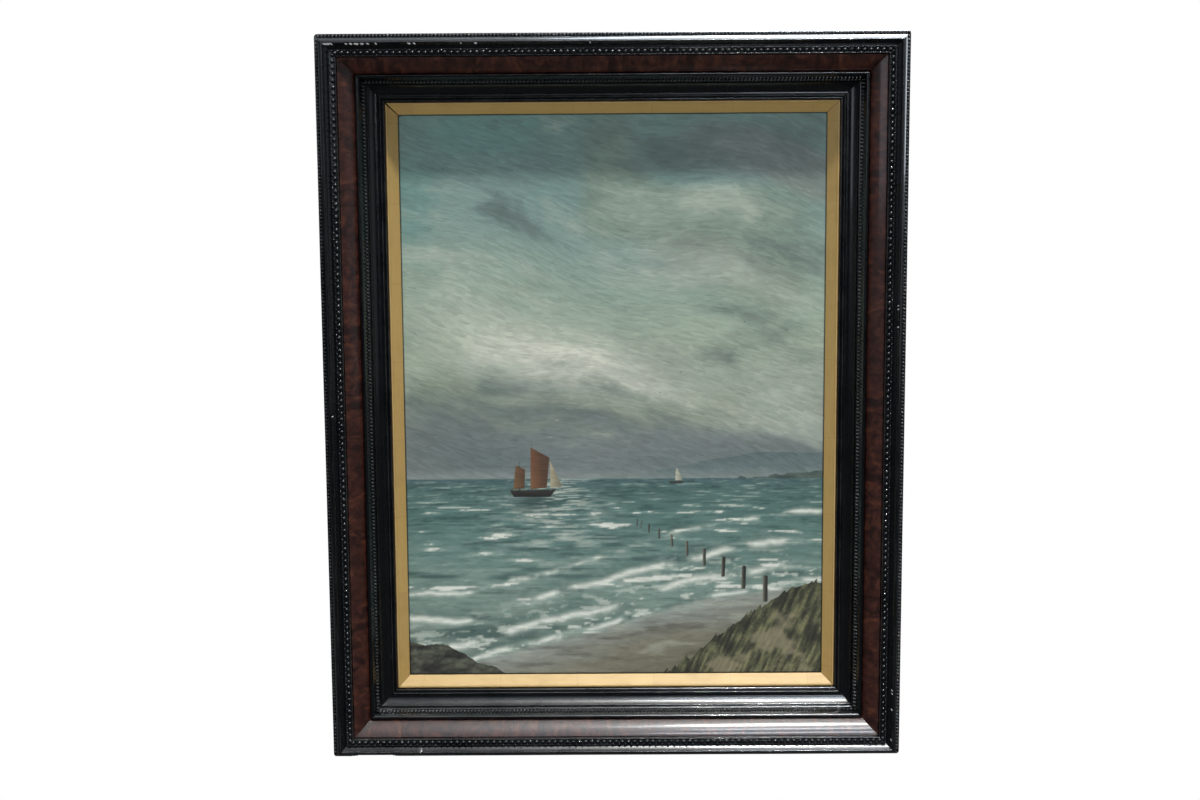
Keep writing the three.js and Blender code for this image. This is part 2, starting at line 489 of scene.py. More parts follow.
@dataclass
class Shell:
    """A mesh being gathered from arrays: points, faces, finishes and named values at the points."""

    points: list[Array] = field(default_factory=list)
    loops: list[Array] = field(default_factory=list)
    sizes: list[Array] = field(default_factory=list)
    zones: list[Array] = field(default_factory=list)
    surface: list[Array] = field(default_factory=list)
    values: dict[str, list[Array]] = field(default_factory=dict)
    count: int = 0

    def add(
        self,
        points: Array,
        faces: Faces,
        surface: Array,
        **values: Array,
    ) -> None:
        """Joins one set of points and faces to the mesh.

        Args:
            points: x, y and z of each point in metres.
            faces: pairs of an array with one face's point numbers a row, and those faces' zones.
            surface: each point's place along and across the piece in metres.
            values: named values at each point.
        """
        for corners, zones in faces:
            self.loops.append((corners + self.count).ravel())
            self.sizes.append(np.full(len(corners), corners.shape[1]))
            self.zones.append(np.broadcast_to(zones, len(corners)))
        self.points.append(points)
        self.surface.append(surface)
        for name, value in values.items():
            self.values.setdefault(name, []).append(value)
        self.count += len(points)

    def build(self, name: str, materials: list[Material], sharp: float = 38.0) -> Piece:
        """Makes the object from what was gathered.

        Args:
            name: the object's name.
            materials: the materials, in the order of the zones.
            sharp: edges that turn more than this many degrees stay crisp.

        Returns:
            The new object, at the origin.
        """
        mesh = bpy.data.meshes.new(name)
        loops, sizes = np.concatenate(self.loops), np.concatenate(self.sizes)
        mesh.vertices.add(self.count)
        mesh.vertices.foreach_set("co", np.concatenate(self.points).astype(np.float32).ravel())
        mesh.loops.add(len(loops))
        mesh.loops.foreach_set("vertex_index", loops.astype(np.int32))
        mesh.polygons.add(len(sizes))
        mesh.polygons.foreach_set("loop_start", (np.cumsum(sizes) - sizes).astype(np.int32))
        for material in materials:
            mesh.materials.append(material)
        mesh.polygons.foreach_set("material_index", np.concatenate(self.zones).astype(np.int32))
        mesh.update(calc_edges=True)
        layer = mesh.uv_layers.new(name="Surface")
        layer.uv.foreach_set("vector", np.concatenate(self.surface)[loops].astype(np.float32).ravel())
        for key, parts in self.values.items():
            data = np.concatenate(parts).astype(np.float32)
            if data.ndim == 1:
                mesh.attributes.new(key, "FLOAT", "POINT").data.foreach_set("value", data)
            else:
                mesh.attributes.new(key, "FLOAT_VECTOR", "POINT").data.foreach_set("vector", data.ravel())
        mesh.validate()
        mesh.shade_smooth()
        mesh.set_sharp_from_angle(angle=math.radians(sharp))
        return placed(name, mesh)


@dataclass(frozen=True)
class Chip:
    """A small loss: its side, its middle, its half length, its reach round the edge, its depth.

    The middle is given along the rail, outwards, and above the wall. Bare is 1 where pale ground
    shows in the loss, and 0 where the loss has gone dark.
    """

    side: Side
    along: float
    out: float
    height: float
    length: float = 1.5
    reach: float = 0.9
    depth: float = 0.5
    bare: float = 1.0


@dataclass(frozen=True)
class BeadRow:
    """A row of carved beads on a sloping bed.

    A bead is a dome: its outline is an ellipse with half sizes length along the rail and width
    across, and it stands up by height as the cosine of the angle from its crown, which ends at
    skirt right angles. The row runs along out and bed. Shift moves it along the rail, lean slants
    its beads, and the field after lean says how far their crowns turn to the rubbed grey, which is
    partly wear and partly a painted highlight. Jitter is how far hand carving strays, as a share
    of a bead's size.
    """

    pitch: float
    out: float
    bed: float
    slope: float
    length: float
    width: float
    height: float
    shift: float = 0.0
    lean: float = 0.0
    crown_wear_and_highlight: float = 0.5
    rings: int = 4
    sectors: int = 10
    skirt: float = 1.12
    jitter: float = 0.05

    def centres(self, opening: Opening, side: Side, chips: tuple[Chip, ...]) -> Array:
        """Gives the beads' middles along a rail, without the beads that its chips reach.

        Args:
            opening: the opening that places the rail.
            side: the side of the frame.
            chips: losses on the frame.

        Returns:
            Distances along the rail from its middle.
        """
        reach = opening.reach(side, self.out)
        count = int((reach - self.shift - 0.3 * self.length) / self.pitch)
        numbers = np.arange(-count - 1 if self.shift else -count, count + 1)
        centres = (numbers + self.shift / self.pitch) * self.pitch
        centres = centres[np.abs(centres) < reach - 0.25 * self.length]
        for chip in chips:
            if chip.side is side and math.hypot(chip.out - self.out, chip.height - self.bed) < chip.reach:
                centres = centres[np.abs(centres - chip.along) > chip.length]
        return centres

    def dome(self) -> tuple[Array, Array, Array]:
        """Gives one bead's points along, across and up from its middle: rings, then the crown.

        Returns:
            Distances along, across and up from the bead's middle.
        """
        polar = np.linspace(math.pi / 2 * self.skirt, 0.0, self.rings + 1)[:-1]
        around = np.arange(self.sectors) * 2 * math.pi / self.sectors
        ring = np.repeat(np.sin(polar), self.sectors)
        along = np.append(ring * np.tile(np.cos(around), self.rings), 0.0) * self.length
        across = np.append(ring * np.tile(np.sin(around), self.rings), 0.0) * self.width
        up = np.append(np.repeat(np.cos(polar), self.sectors), 1.0) * self.height
        return along + self.lean * across, across, up

    def faces(self, beads: int) -> Faces:
        """Numbers the squares between the rings and the triangles at the crown of each bead.

        Args:
            beads: how many beads there are.

        Returns:
            The faces of all the beads.
        """
        start = np.arange(self.sectors)
        following = (start + 1) % self.sectors
        rows = np.arange(self.rings - 1)[:, None] * self.sectors
        quads = np.stack([rows + start, rows + following, rows + following + self.sectors,
                          rows + start + self.sectors], axis=-1).reshape(-1, 4)
        last, crown = (self.rings - 1) * self.sectors, self.rings * self.sectors
        caps = np.stack([last + start, last + following, np.full(self.sectors, crown)], axis=-1)
        offsets = (np.arange(beads) * (crown + 1))[:, None, None]
        zone = np.array(Zone.FACE.value)
        return [((quads + offsets).reshape(-1, 4), zone), ((caps + offsets).reshape(-1, 3), zone)]

    def add_to(self, shell: Shell, opening: Opening, side: Side, chips: tuple[Chip, ...]) -> None:
        """Joins the row's domes to a rail's mesh: dust at the foot, wear and painted highlight on the
        crown.

        Args:
            shell: the mesh being gathered.
            opening: the opening that places the rail.
            side: the side of the frame.
            chips: losses, which take the beads they reach.
        """
        centres = self.centres(opening, side, chips)
        random = np.random.default_rng(11 + side.value + int(self.out * 7))
        size = 1 + self.jitter * random.standard_normal((len(centres), 1))
        stray = 0.4 * self.jitter * self.length * random.standard_normal((len(centres), 2))
        a, b, c = self.dome()
        cosine, sine = math.cos(self.slope), math.sin(self.slope)
        along = centres[:, None] + a * size + stray[:, :1]
        out = self.out + (b * cosine - c * sine) * size + stray[:, 1:]
        height = self.bed + (b * sine + c * cosine) * size
        limit = opening.reach(side, out)
        along = np.clip(along, -limit, limit)
        crown = np.tile(np.clip(c / self.height, 0, 1), len(centres))
        shell.add(
            opening.place(side, along, out, height),
            self.faces(len(centres)),
            np.stack([along.ravel(), self.out + np.tile(b, len(centres))], axis=-1) * MM,
            hollow=np.clip(1.0 - 1.8 * crown, 0, 1),
            # Crown lightening: wear, and a painted highlight in the ebonised wood.
            edge=np.clip(crown * 1.6 - 0.4, 0, 1) * self.crown_wear_and_highlight,
            chip=np.zeros(along.size),
        )


@dataclass
class Moulding:
    """One kind of rail: a section carried along the four sides and mitred at the corners.

    Its outer corners are rounded by corner_radius. The upper left mitre has opened by open_mitre
    at the front. Waver is the height of the waves that handwork leaves, and the two waves'
    lengths are given as the distance for one radian.
    """

    opening: Opening
    node: str
    piece: str
    slot: str
    chips: tuple[Chip, ...] = ()
    beads: tuple[BeadRow, ...] = ()
    station_step: float = 7.0
    corner_radius: float = 0.0
    open_mitre: float = 0.0
    waver: float = 0.07
    slow_wave: float = 61.0
    quick_wave: float = 23.0
    outer: float = 0.0

    def section(self) -> Section:
        """The section's outline, which each kind of moulding draws for itself."""
        raise NotImplementedError

    def stations(self, side: Side) -> Array:
        """Fractions along the half rail where sections stand, closer together at its chips.

        Args:
            side: the side of the frame.

        Returns:
            Fractions from -1 to 1, in rising order.
        """
        run = self.opening.run(side)
        marks = [np.linspace(-1, 1, int(2 * run / self.station_step))]
        if self.corner_radius:
            near = 1 - np.arange(7) * 0.25 * self.corner_radius / (run + self.outer)
            marks += [near, -near]
        for chip in self.chips:
            if chip.side is side:
                spread = np.linspace(-1.3, 1.3, 9 + 2 * int(chip.length)) * chip.length
                marks.append((chip.along + spread) / (run + chip.out))
        return np.unique(np.clip(np.round(np.concatenate(marks), 6), -1, 1))

    def carve(self, side: Side, along: Array, outline: Array, zones: Array) -> tuple[Array, Array]:
        """Works out the waver of handwork and the losses.

        The waver is a slow sum of sines. A chip sinks by a bell curve of the distance from its
        middle, with a ragged edge.

        Args:
            side: the side of the frame.
            along: each point's distance along the rail, one row for each station.
            outline: the section's points.
            zones: the section's zones, since only the face wavers.

        Returns:
            How far each point moves along its own normal, and how bare a loss leaves it.
        """
        out, height = outline[:, 0], outline[:, 1]
        phase = side.value * 2.1
        wave = np.sin(along / self.slow_wave + phase)
        wave = wave + 0.6 * np.sin(along / self.quick_wave + 2 * phase + out * 0.11)
        push = self.waver * (0.5 * wave - 0.9) * (zones == Zone.FACE.value)
        bare = np.zeros_like(along)
        for chip in self.chips:
            if chip.side is side:
                ragged = 1 + 0.35 * lattice_noise(along * 0.9, out + 0.5 * height + 0 * along, 5)
                round_edge = np.hypot(out - chip.out, height - chip.height) / chip.reach
                away = np.hypot((along - chip.along) / chip.length, round_edge) / ragged
                bell = np.exp(-away ** 4)
                bare = np.maximum(bare, bell * chip.bare)
                push = push - chip.depth * bell
        return push, bare

    def sweep(self, side: Side) -> Shell:
        """Carries the section along a rail, from mitre to mitre.

        At fraction s of the half rail, a point at distance p out stands at s times (run + p), so
        both ends lie in the mitre planes. Each point then moves along its own normal as carved.

        Args:
            side: the side of the frame.

        Returns:
            The rail's mesh, still open to more parts.
        """
        outline, zones = self.section().outline()
        normal, across, roundness = outline_measures(outline)
        out, height = outline[:, 0], outline[:, 1]
        reach = self.opening.reach(side, out)
        along = self.stations(side)[:, None] * reach
        push, bare = self.carve(side, along, outline, zones)
        moved_out = out + push * normal[:, 0]
        moved_height = height + push * normal[:, 1]
        if self.corner_radius:
            end = self.opening.run(side) + out.max()
            along, moved_out = round_corner(along, moved_out, end, out.max(), self.corner_radius)
        opened = self.open_mitre * np.clip(2 * height / height.max() - 1, 0, 1)
        if side is Side.top:
            along = np.maximum(along, opened - reach)
        if side is Side.left:
            along = np.minimum(along, reach - opened)
        rows, columns = along.shape
        number = np.arange(rows * columns).reshape(rows, columns)
        after = np.roll(number, -1, axis=1)
        quads = np.stack([number[:-1], after[:-1], after[1:], number[1:]], axis=-1).reshape(-1, 4)
        ends = np.stack([number[0][::-1], number[-1]])
        if turning_sense(outline) > 0:
            quads, ends = quads[:, ::-1], ends[:, ::-1]
        shell = Shell()
        shell.add(
            self.opening.place(side, along, moved_out, moved_height),
            [(quads, np.tile(zones, rows - 1)), (ends, np.array(Zone.CARCASS.value))],
            np.stack([along.ravel(), np.tile(across, rows)], axis=-1) * MM,
            hollow=np.tile(np.clip(-roundness * 1.2, 0, 1), rows),
            # Edge lightens convex arrises: wear, and in the ebonised wood a painted highlight too.
            edge=np.tile(np.clip(roundness * 0.6 - 0.15, 0, 0.5), rows),
            chip=bare.ravel(),
        )
        return shell

    def build(self, side: Side, materials: list[Material]) -> Piece:
        """Makes one rail, which stands for its CAD node.

        Args:
            side: the side of the frame.
            materials: the finishes of the face and of the carcass.

        Returns:
            The rail's object.
        """
        shell = self.sweep(side)
        for row in self.beads:
            row.add_to(shell, self.opening, side, self.chips)
        rail = shell.build(f"{self.piece}_{side.name}", materials)
        keep_inside(rail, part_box(f"{self.node}_{side.name}"))
        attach(rail, "root")
        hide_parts(f"{self.node}_{side.name}")
        LOG.info("%s: %d faces", rail.name, len(rail.data.polygons))
        return rail


def round_corner(
    along: Array, out: Array, end: float, edge: float, radius: float
) -> tuple[Array, Array]:
    """Rounds a rail's outer corners: what lies past the corner's circle is drawn back onto it.

    Args:
        along: distances along the rail.
        out: distances outwards.
        end: where the outer edge reaches the corner.
        edge: the outer edge's distance outwards.
        radius: the corner's radius.

    Returns:
        The distances along and outwards, drawn in at the corners.
    """
    into = np.maximum(np.abs(along) - (end - radius), 0.0)
    beyond = np.maximum(out - (edge - radius), 0.0)
    excess = 1 - np.minimum(radius / np.maximum(np.hypot(into, beyond), 1e-9), 1.0)
    return along - np.sign(along) * into * excess, out - beyond * excess


def keep_inside(piece: Piece, box: tuple) -> None:
    """Holds each point of a piece within its node's box, so that hand waver adds no size.

    Args:
        piece: the object whose mesh is held.
        box: the lowest and highest corners.
    """
    mesh = piece.data
    points = np.empty(len(mesh.vertices) * 3, dtype=np.float32)
    mesh.vertices.foreach_get("co", points)
    points = np.clip(points.reshape(-1, 3), np.array(box[0]), np.array(box[1]))
    mesh.vertices.foreach_set("co", points.astype(np.float32).ravel())
    mesh.update()


# ---- The frame's mouldings -----------------------------------------------------------------


@dataclass
class GiltSlip(Moulding):
    """The gilt slip: a sight edge, a slope up to a small fillet, and a rebate for the canvas.

    The canvas runs in behind the sight edge by overlap, and the tongue lies behind the rail.
    """

    width: float = 11.3
    front: float = 30.0
    sight_front: float = 20.9
    sight_back: float = 19.6
    overlap: float = 5.2
    back: float = 8.0
    tongue: float = 3.9

    def section(self) -> Section:
        """Draws the slip's section.

        Returns:
            The closed section.
        """
        wall = -self.width + self.overlap + 1.0
        under = self.front - 3.2
        s = Section([(-self.width, self.sight_back)], arris=0.2, line_step=1.4)
        s.line((wall, self.sight_back), (wall, self.back), (self.tongue, self.back), zone=Zone.CARCASS)
        s.line((self.tongue, under), (0.0, under), zone=Zone.CARCASS)
        s.line((0.0, self.front), (-1.5, self.front), (-1.5, self.front - 0.7))
        s.curve((-5.5, self.front - 4.4), (-self.width + 0.5, self.sight_front))
        s.line((-self.width, self.sight_front - 0.5), (-self.width, self.sight_back))
        return s


@dataclass
class InnerMoulding(Moulding):
    """The inner ebonised moulding: a lip, a fillet, a hollow, a second fillet, pearls and a round."""

    front: float = 30.0
    outer: float = 27.1

    def section(self) -> Section:
        """Draws the inner moulding's section.

        Returns:
            The closed section.
        """
        h = self.front
        s = Section([(4.2, 0.0)])
        s.line((self.outer, 0.0), (self.outer, h + 20.0), zone=Zone.CARCASS)
        s.line((self.outer, h + 24.4))
        s.curve((26.3, h + 28.2), (22.8, h + 27.6), (22.2, h + 24.0))
        s.line((21.7, h + 23.3), (19.5, h + 16.4), (19.3, h + 15.2), (19.0, h + 14.5))
        s.line((18.0, h + 14.0), (17.9, h + 9.3), (17.2, h + 9.8))
        s.curve((11.0, h + 1.9), (6.1, h + 3.7))
        s.line((5.8, h + 4.1))
        s.curve((5.4, h + 4.7), (4.9, h + 4.7), (4.55, h + 4.1))
        s.line((4.3, h + 1.8))
        s.curve((3.1, h + 2.2), (2.5, h + 3.0), (1.9, h + 2.8))
        s.line((1.1, h + 2.2), (1.1, h - 2.9), (4.2, h - 2.9))
        s.line((4.2, 0.0), zone=Zone.CARCASS)
        return s


@dataclass
class BurrBand(Moulding):
    """The veneered band: a slightly swelling face that climbs from the inner to the outer part."""

    front: float = 30.0
    inner: float = 27.4
    outer: float = 42.4

    def section(self) -> Section:
        """Draws the band's section.

        Returns:
            The closed section.
        """
        h = self.front
        s = Section([(self.inner, 0.0)], curve_step=0.8)
        s.line((self.outer, 0.0), (self.outer, h + 34.0), zone=Zone.CARCASS)
        s.line((self.outer, h + 37.6))
        s.curve((34.0, h + 33.2), (self.inner, h + 24.4))
        s.line((self.inner, h + 20.0))
        s.line((self.inner, 0.0), zone=Zone.CARCASS)
        return s


@dataclass
class OuterMoulding(Moulding):
    """The deep outer moulding: a bead row, a groove, a full ridge, pearls and a flat side."""

    front: float = 30.0
    inner: float = 42.7
    outer: float = 67.4
    floor: float = 72.8
    floor_slope: float = 0.3

    def section(self) -> Section:
        """Draws the outer moulding's section.

        Returns:
            The closed section.
        """
        h = self.front
        s = Section([(self.inner, 0.0)])
        s.line((self.outer, 0.0), zone=Zone.CARCASS)
        s.line((self.outer, h + 2.2), (66.6, h + 3.0), (66.7, h + 20.3))
        s.curve((67.6, h + 23.8), (67.5, h + 27.1), (65.6, h + 26.9))
        s.line((63.6, h + 26.0), (63.2, h + 26.8))
        s.curve((62.6, h + 31.0), (61.0, h + 43.5), (57.2, h + 47.0))
        s.curve((56.5, h + 48.38), (55.3, h + 48.38), (54.8, h + 47.0))
        s.line((50.2, h + 42.3), (49.7, h + 42.3))
        s.line((49.3, self.floor + 5.3 * self.floor_slope), (44.0, self.floor))
        s.line((43.6, h + 43.4), (43.0, h + 43.4), (self.inner, h + 42.9), (self.inner, h + 36.0))
        s.line((self.inner, 0.0), zone=Zone.CARCASS)
        return s


# Small losses along the ridge: the middle of each along its side, and its half length.
WORN = {
    Side.top: ((-288.5, 2.6), (-285.0, 3.6), (-280.8, 1.2), (-266.0, 1.4), (-261.5, 1.8), (-256.0, 2.6),
               (-250.0, 2.0), (-244.5, 1.4), (-236.3, 0.8), (-203.0, 1.8), (-198.0, 1.2), (-151.3, 0.6),
               (-136.8, 1.5), (-22.3, 0.7)),
    Side.right: ((-101.0, 0.7), (-97.5, 0.6), (-79.3, 0.7), (302.5, 0.9), (306.0, 0.7), (323.2, 0.8),
                 (356.0, 0.6)),
    Side.left: ((-9.0, 0.5),),
    Side.bottom: ((205.6, 0.7),),
}


def outer_losses() -> tuple[Chip, ...]:
    """Gives the pale losses on the ridge's inner arris, and the dark one on the lower outer edge.

    Returns:
        The losses of all four sides.
    """
    crest, outer_edge = (54.9, 77.0), (66.8, 55.8)
    small = tuple(Chip(side, along, *crest, length, reach=0.9, depth=0.25)
                  for side, marks in WORN.items() for along, length in marks)
    return small + (Chip(Side.bottom, 257.5, *outer_edge, length=20.0, reach=4.0, depth=2.6, bare=0.0),)


# The rows on the outer moulding: large beads, small ones between them, and the outer pearls.
OUTER_BEADS = (
    BeadRow(pitch=6.46, out=46.2, bed=73.0, slope=math.atan(0.3), length=2.7, width=2.2, height=2.3,
            crown_wear_and_highlight=0.3),
    BeadRow(pitch=6.46, out=48.7, bed=74.2, slope=math.atan(0.3), length=1.15, width=0.95, height=1.5,
            shift=3.23, crown_wear_and_highlight=0.3, rings=3),
    BeadRow(pitch=3.72, out=64.6, bed=55.9, slope=math.radians(-14), length=1.35, width=1.8, height=1.9,
            lean=0.25, crown_wear_and_highlight=1.3, rings=3),
)
INNER_PEARLS = (
    BeadRow(pitch=3.75, out=20.5, bed=50.2, slope=math.radians(66), length=1.25, width=2.6, height=2.7,
            lean=0.2, crown_wear_and_highlight=1.1, rings=3),
)


@dataclass
class StretcherBar(Moulding):
    """A pine stretcher bar: planed flat, with its arrises just broken."""

    outer: float = -6.7
    width: float = 44.0
    front: float = 17.9
    thickness: float = 16.5

    def section(self) -> Section:
        """Draws the bar's section.

        Returns:
            The closed section.
        """
        inner, back = self.outer - self.width, self.front - self.thickness
        s = Section([(inner, back)], arris=0.8, line_step=6.0)
        s.line((self.outer, back), (self.outer, self.front), (inner, self.front), (inner, back))
        return s


# ---- Finishes ------------------------------------------------------------------------------


@dataclass(frozen=True)
class EbonisedWood:
    """Close-grained wood stained black and French polished.

    The stain hides the grain's colour, so the eye gets a blue-black sheen that the polish breaks
    up along the rail, grey where hands have rubbed the edges and bead crowns, a grey made light
    enough to be a painted highlight there as well, dusty in the hollows, and pale where a loss
    shows the ground.
    """

    stain: str = "#05070a"
    # The rubbed grey is wear, made light enough to be a painted highlight on edges and crowns.
    rubbed: str = "#66676a"
    dust: str = "#3a3b3a"
    bare: str = "#ffffff"
    roughness: float = 0.20

    def material(self) -> Material:
        """Builds the material, whose streaks run along the rail on its own UV map.

        Returns:
            The material.
        """
        n = Nodes(bpy.data.materials.new("Ebonised French-polished wood"))
        place = n.place()
        streak = n.noise(n.stretched(n.surface(), 45, 1100), scale=1.0, detail=4.0, roughness=0.6)
        blotch = n.noise(place, scale=28.0, detail=3.0)
        speckle = n.noise(place, scale=900.0, detail=2.0)
        dust = n.times(n.times(n.point_value("hollow"), blotch), 0.10)
        # Painted highlight with real wear: convex edges and bead crowns turn towards the rubbed grey.
        wear_and_painted_highlight = n.spread(n.times(n.point_value("edge"), blotch), 0.14, 0.70, end=0.7)
        loss = n.spread(n.point_value("chip"), 0.45, 0.6)
        colour = n.mix(wear_and_painted_highlight, self.stain, self.rubbed)
        colour = n.mix(dust, colour, self.dust)
        colour = n.mix(loss, colour, self.bare)
        sheen = n.times_plus(streak, 0.22, self.roughness - 0.13)
        cloudy = n.times_plus(blotch, 0.18, sheen)
        rough = n.times_plus(dust, 0.7, cloudy)
        relief = n.times_plus(speckle, 0.35, streak)
        return n.finished(colour, rough, relief, 0.35, 0.00006, IOR=1.5, Coat_Weight=0.6,
                          Coat_Roughness=0.08)


@dataclass(frozen=True)
class BurrVeneer:
    """Burr walnut veneer, stained red-brown and French polished.

    The veneer is laid across the band, so its streaks and curls run from edge to edge, with dark
    eyes a millimetre across, under a clear polish that gives a sharp highlight.
    """

    deep: str = "#0c0504"
    body: str = "#23100d"
    lit: str = "#40211a"
    amber: str = "#583222"

    def material(self) -> Material:
        """Builds the material on the band's own UV map.

        Returns:
            The material.
        """
        n = Nodes(bpy.data.materials.new("Polished burr veneer"))
        surface = n.surface()
        curl = n.noise(n.stretched(surface, 90, 60), scale=1.0, detail=3.0, distortion=1.2)
        streak = n.noise(
            n.stretched(surface, 420, 75), scale=1.0, detail=5.0, roughness=0.62, distortion=1.6)
        pores = n.noise(surface, scale=700.0, detail=2.0, roughness=0.7)
        figure = n.times_plus(streak, 0.45, n.times_plus(curl, 0.75, -0.05))
        stops = [(0.30, self.deep), (0.72, self.amber), (0.45, self.body), (0.60, self.lit)]
        colour = n.add("ValToRGB", {"Fac": figure}, stops=stops)
        eyes = n.add("TexVoronoi", {"Vector": surface, "Scale": 330.0, "Randomness": 1.0}, "Distance")
        dark = n.times(n.spread(eyes, 0.10, 0.26, 0.75, 0.0), curl)
        spotted = n.mix(dark, colour, self.deep)
        rough = n.times_plus(streak, 0.20, 0.28)
        relief = n.times_plus(pores, 0.8, figure)
        return n.finished(spotted, rough, relief, 0.6, 0.00024, IOR=1.5, Coat_Weight=0.6,
                          Coat_Roughness=0.12)


@dataclass(frozen=True)
class Gilding:
    """Gold leaf on bole, matt and aged.

    Leaves lap every 83 mm, the leaf is thin enough to show red bole at rubbed edges, and a toned
    size darkens the hollows.
    """

    leaf: str = "#bd984f"
    pale: str = "#ccae70"
    toned: str = "#8e6c34"
    bole: str = "#6e3a22"
    leaf_width: float = 0.083

    def material(self) -> Material:
        """Builds the material on the slip's own UV map.

        Returns:
            The material.
        """
        n = Nodes(bpy.data.materials.new("Matt gold leaf on bole"))
        surface = n.surface()
        streak = n.noise(n.stretched(surface, 25, 700), scale=1.0, detail=4.0, roughness=0.6)
        blotch = n.noise(n.place(), scale=45.0, detail=5.0, roughness=0.65)
        laps = n.add("TexBrick", {
            "Vector": surface, "Scale": 1.0, "Brick Width": self.leaf_width, "Row Height": 0.5,
            "Mortar Size": 0.0004, "Mortar Smooth": 0.6, "Color1": (1, 1, 1, 1),
            "Color2": (0.86, 0.86, 0.86, 1), "Mortar": (0.6, 0.6, 0.6, 1)})
        lapped = n.mix(0.5, n.mix(streak, self.leaf, self.pale), laps, "MULTIPLY")
        tone = n.times_plus(blotch, 0.9, n.point_value("hollow"))
        toned = n.mix(n.spread(tone, 0.45, 1.3, end=0.75), lapped, self.toned)
        rubbed = n.spread(n.times(n.point_value("edge"), blotch), 0.42, 0.60, end=0.7)
        colour = n.mix(rubbed, toned, self.bole)
        rough = n.times_plus(blotch, 0.25, 0.40)
        return n.finished(colour, rough, streak, 0.3, 0.00006, Metallic=0.12, Coat_Weight=0.7,
                          Coat_Roughness=0.50)


@dataclass(frozen=True)
class BarePine:
    """Planed pine, bare and aged.

    Growth rings show as brown lines 2 to 4 mm apart along the length, and old wood is darker and
    greyer than new.
    """

    name: str = "Aged bare pine"
    early: str = "#b98f5a"
    late: str = "#86592c"
    grime: str = "#5a4330"

    def material(self) -> Material:
        """Builds the material on the piece's own UV map.

        Returns:
            The material.
        """
        n = Nodes(bpy.data.materials.new(self.name))
        surface = n.surface()
        place = n.stretched(surface, 9, 260)
        warp = n.noise(place, scale=0.35, detail=2.0)
        rings = n.add("TexWave", {"Vector": place, "Scale": 0.55, "Distortion": 5.0, "Detail": 2.0,
                                  "Detail Scale": 0.6}, "Fac", bands_direction="Y")
        fibre = n.noise(n.stretched(surface, 60, 2500), scale=1.0, detail=3.0)
        dirt = n.noise(n.place(), scale=16.0, detail=6.0, roughness=0.7)
        colour = n.mix(n.times(rings, warp), self.early, self.late)
        aged = n.mix(n.spread(dirt, 0.42, 0.8, end=0.8), colour, self.grime)
        return n.finished(aged, 0.8, fibre, 0.5, 0.0001)


@dataclass(frozen=True)
class OilPaint:
    """Oil paint brushed on canvas under an old varnish.

    Each stroke carries a slightly different mix, so tones break into dabs about 12 by 3 mm, with
    bristle tracks in them. Thick paint stands up in the foam and the clouds. The weave shows
    faintly, and the varnish adds a soft gloss.
    """

    shade_line: str = "#15130f"
    speck: str = "#23211c"
    cool: str = "#7f9a96"
    varnish: float = 0.22

    def tone(self, n: Nodes, bristles: Socket) -> Socket:
        """Lays the three painted layers over each other, with edges as ragged as the brush.

        Args:
            n: the material's nodes.
            bristles: the noise that follows the brush.

        Returns:
            The output that carries the colour.
        """
        colour = n.point_value("under", "Vector")
        for layer in ("ground", "figure"):
            ragged = n.times_plus(bristles, 0.9, n.point_value(f"{layer}_edge"))
            cover = n.spread(ragged, 0.15, 0.75, 1.0, 0.0)
            colour = n.mix(cover, colour, n.point_value(f"{layer}_tone", "Vector"))
        return colour

    def material(self) -> Material:
        """Builds the material from the layers' attributes and the brush's coordinates.

        Returns:
            The material.
        """
        n = Nodes(bpy.data.materials.new("Varnished oil paint on canvas"))
        brush, place = n.point_value("stroke", "Vector"), n.place()
        bristles = n.noise(
            n.stretched(brush, 75, 620), scale=1.0, detail=5.0, roughness=0.62, distortion=0.4)
        bristle_colour = bristles.node.outputs["Color"]
        crooked = n.add("VectorMath", {0: bristle_colour, 1: (0.9, 0.9, 0.0)}, operation="MULTIPLY")
        dab_place = n.add("VectorMath", {0: n.stretched(brush, 82, 360), 1: crooked}, operation="ADD")
        dabs = n.add("TexVoronoi", {"Vector": dab_place, "Scale": 1.0, "Randomness": 1.0}, "Color")
        dab, other, _ = n.add("SeparateColor", {0: dabs}).node.outputs
        uneven = n.times(n.spread(bristles, 0.25, 0.75, 0.86, 1.14), n.spread(dab, 0.0, 1.0, 0.90, 1.10))
        toned = n.add("VectorMath", {0: self.tone(n, bristles), "Scale": uneven}, operation="SCALE")
        tinted = n.mix(n.spread(other, 0.7, 1.0, 0.0, 0.22), toned, self.cool, "SOFT_LIGHT")
        dirt = n.add("TexVoronoi", {"Vector": place, "Scale": 42.0}, "Distance")
        specked = n.mix(n.spread(dirt, 0.018, 0.030, 0.8, 0.0), tinted, self.speck)
        # Painted shade, with some grime: the canvas darkens to a dark line near the sight edge, where the
        # slip shades it.
        shade = n.spread(n.point_value("rim"), 0.5, 1.7, 0.92, 0.0)
        framed = n.mix(shade, specked, self.shade_line)
        laid = n.times(bristles, n.point_value("thickness"))
        height = n.times_plus(n.weave(place, 340.0), 0.10, n.times_plus(dab, 0.18, laid))
        rough = n.spread(bristles, 0.0, 1.0, 0.38, 0.6)
        return n.finished(framed, rough, height, 0.55, 0.0004, IOR=1.48, Coat_Weight=self.varnish,
                          Coat_Roughness=0.22)


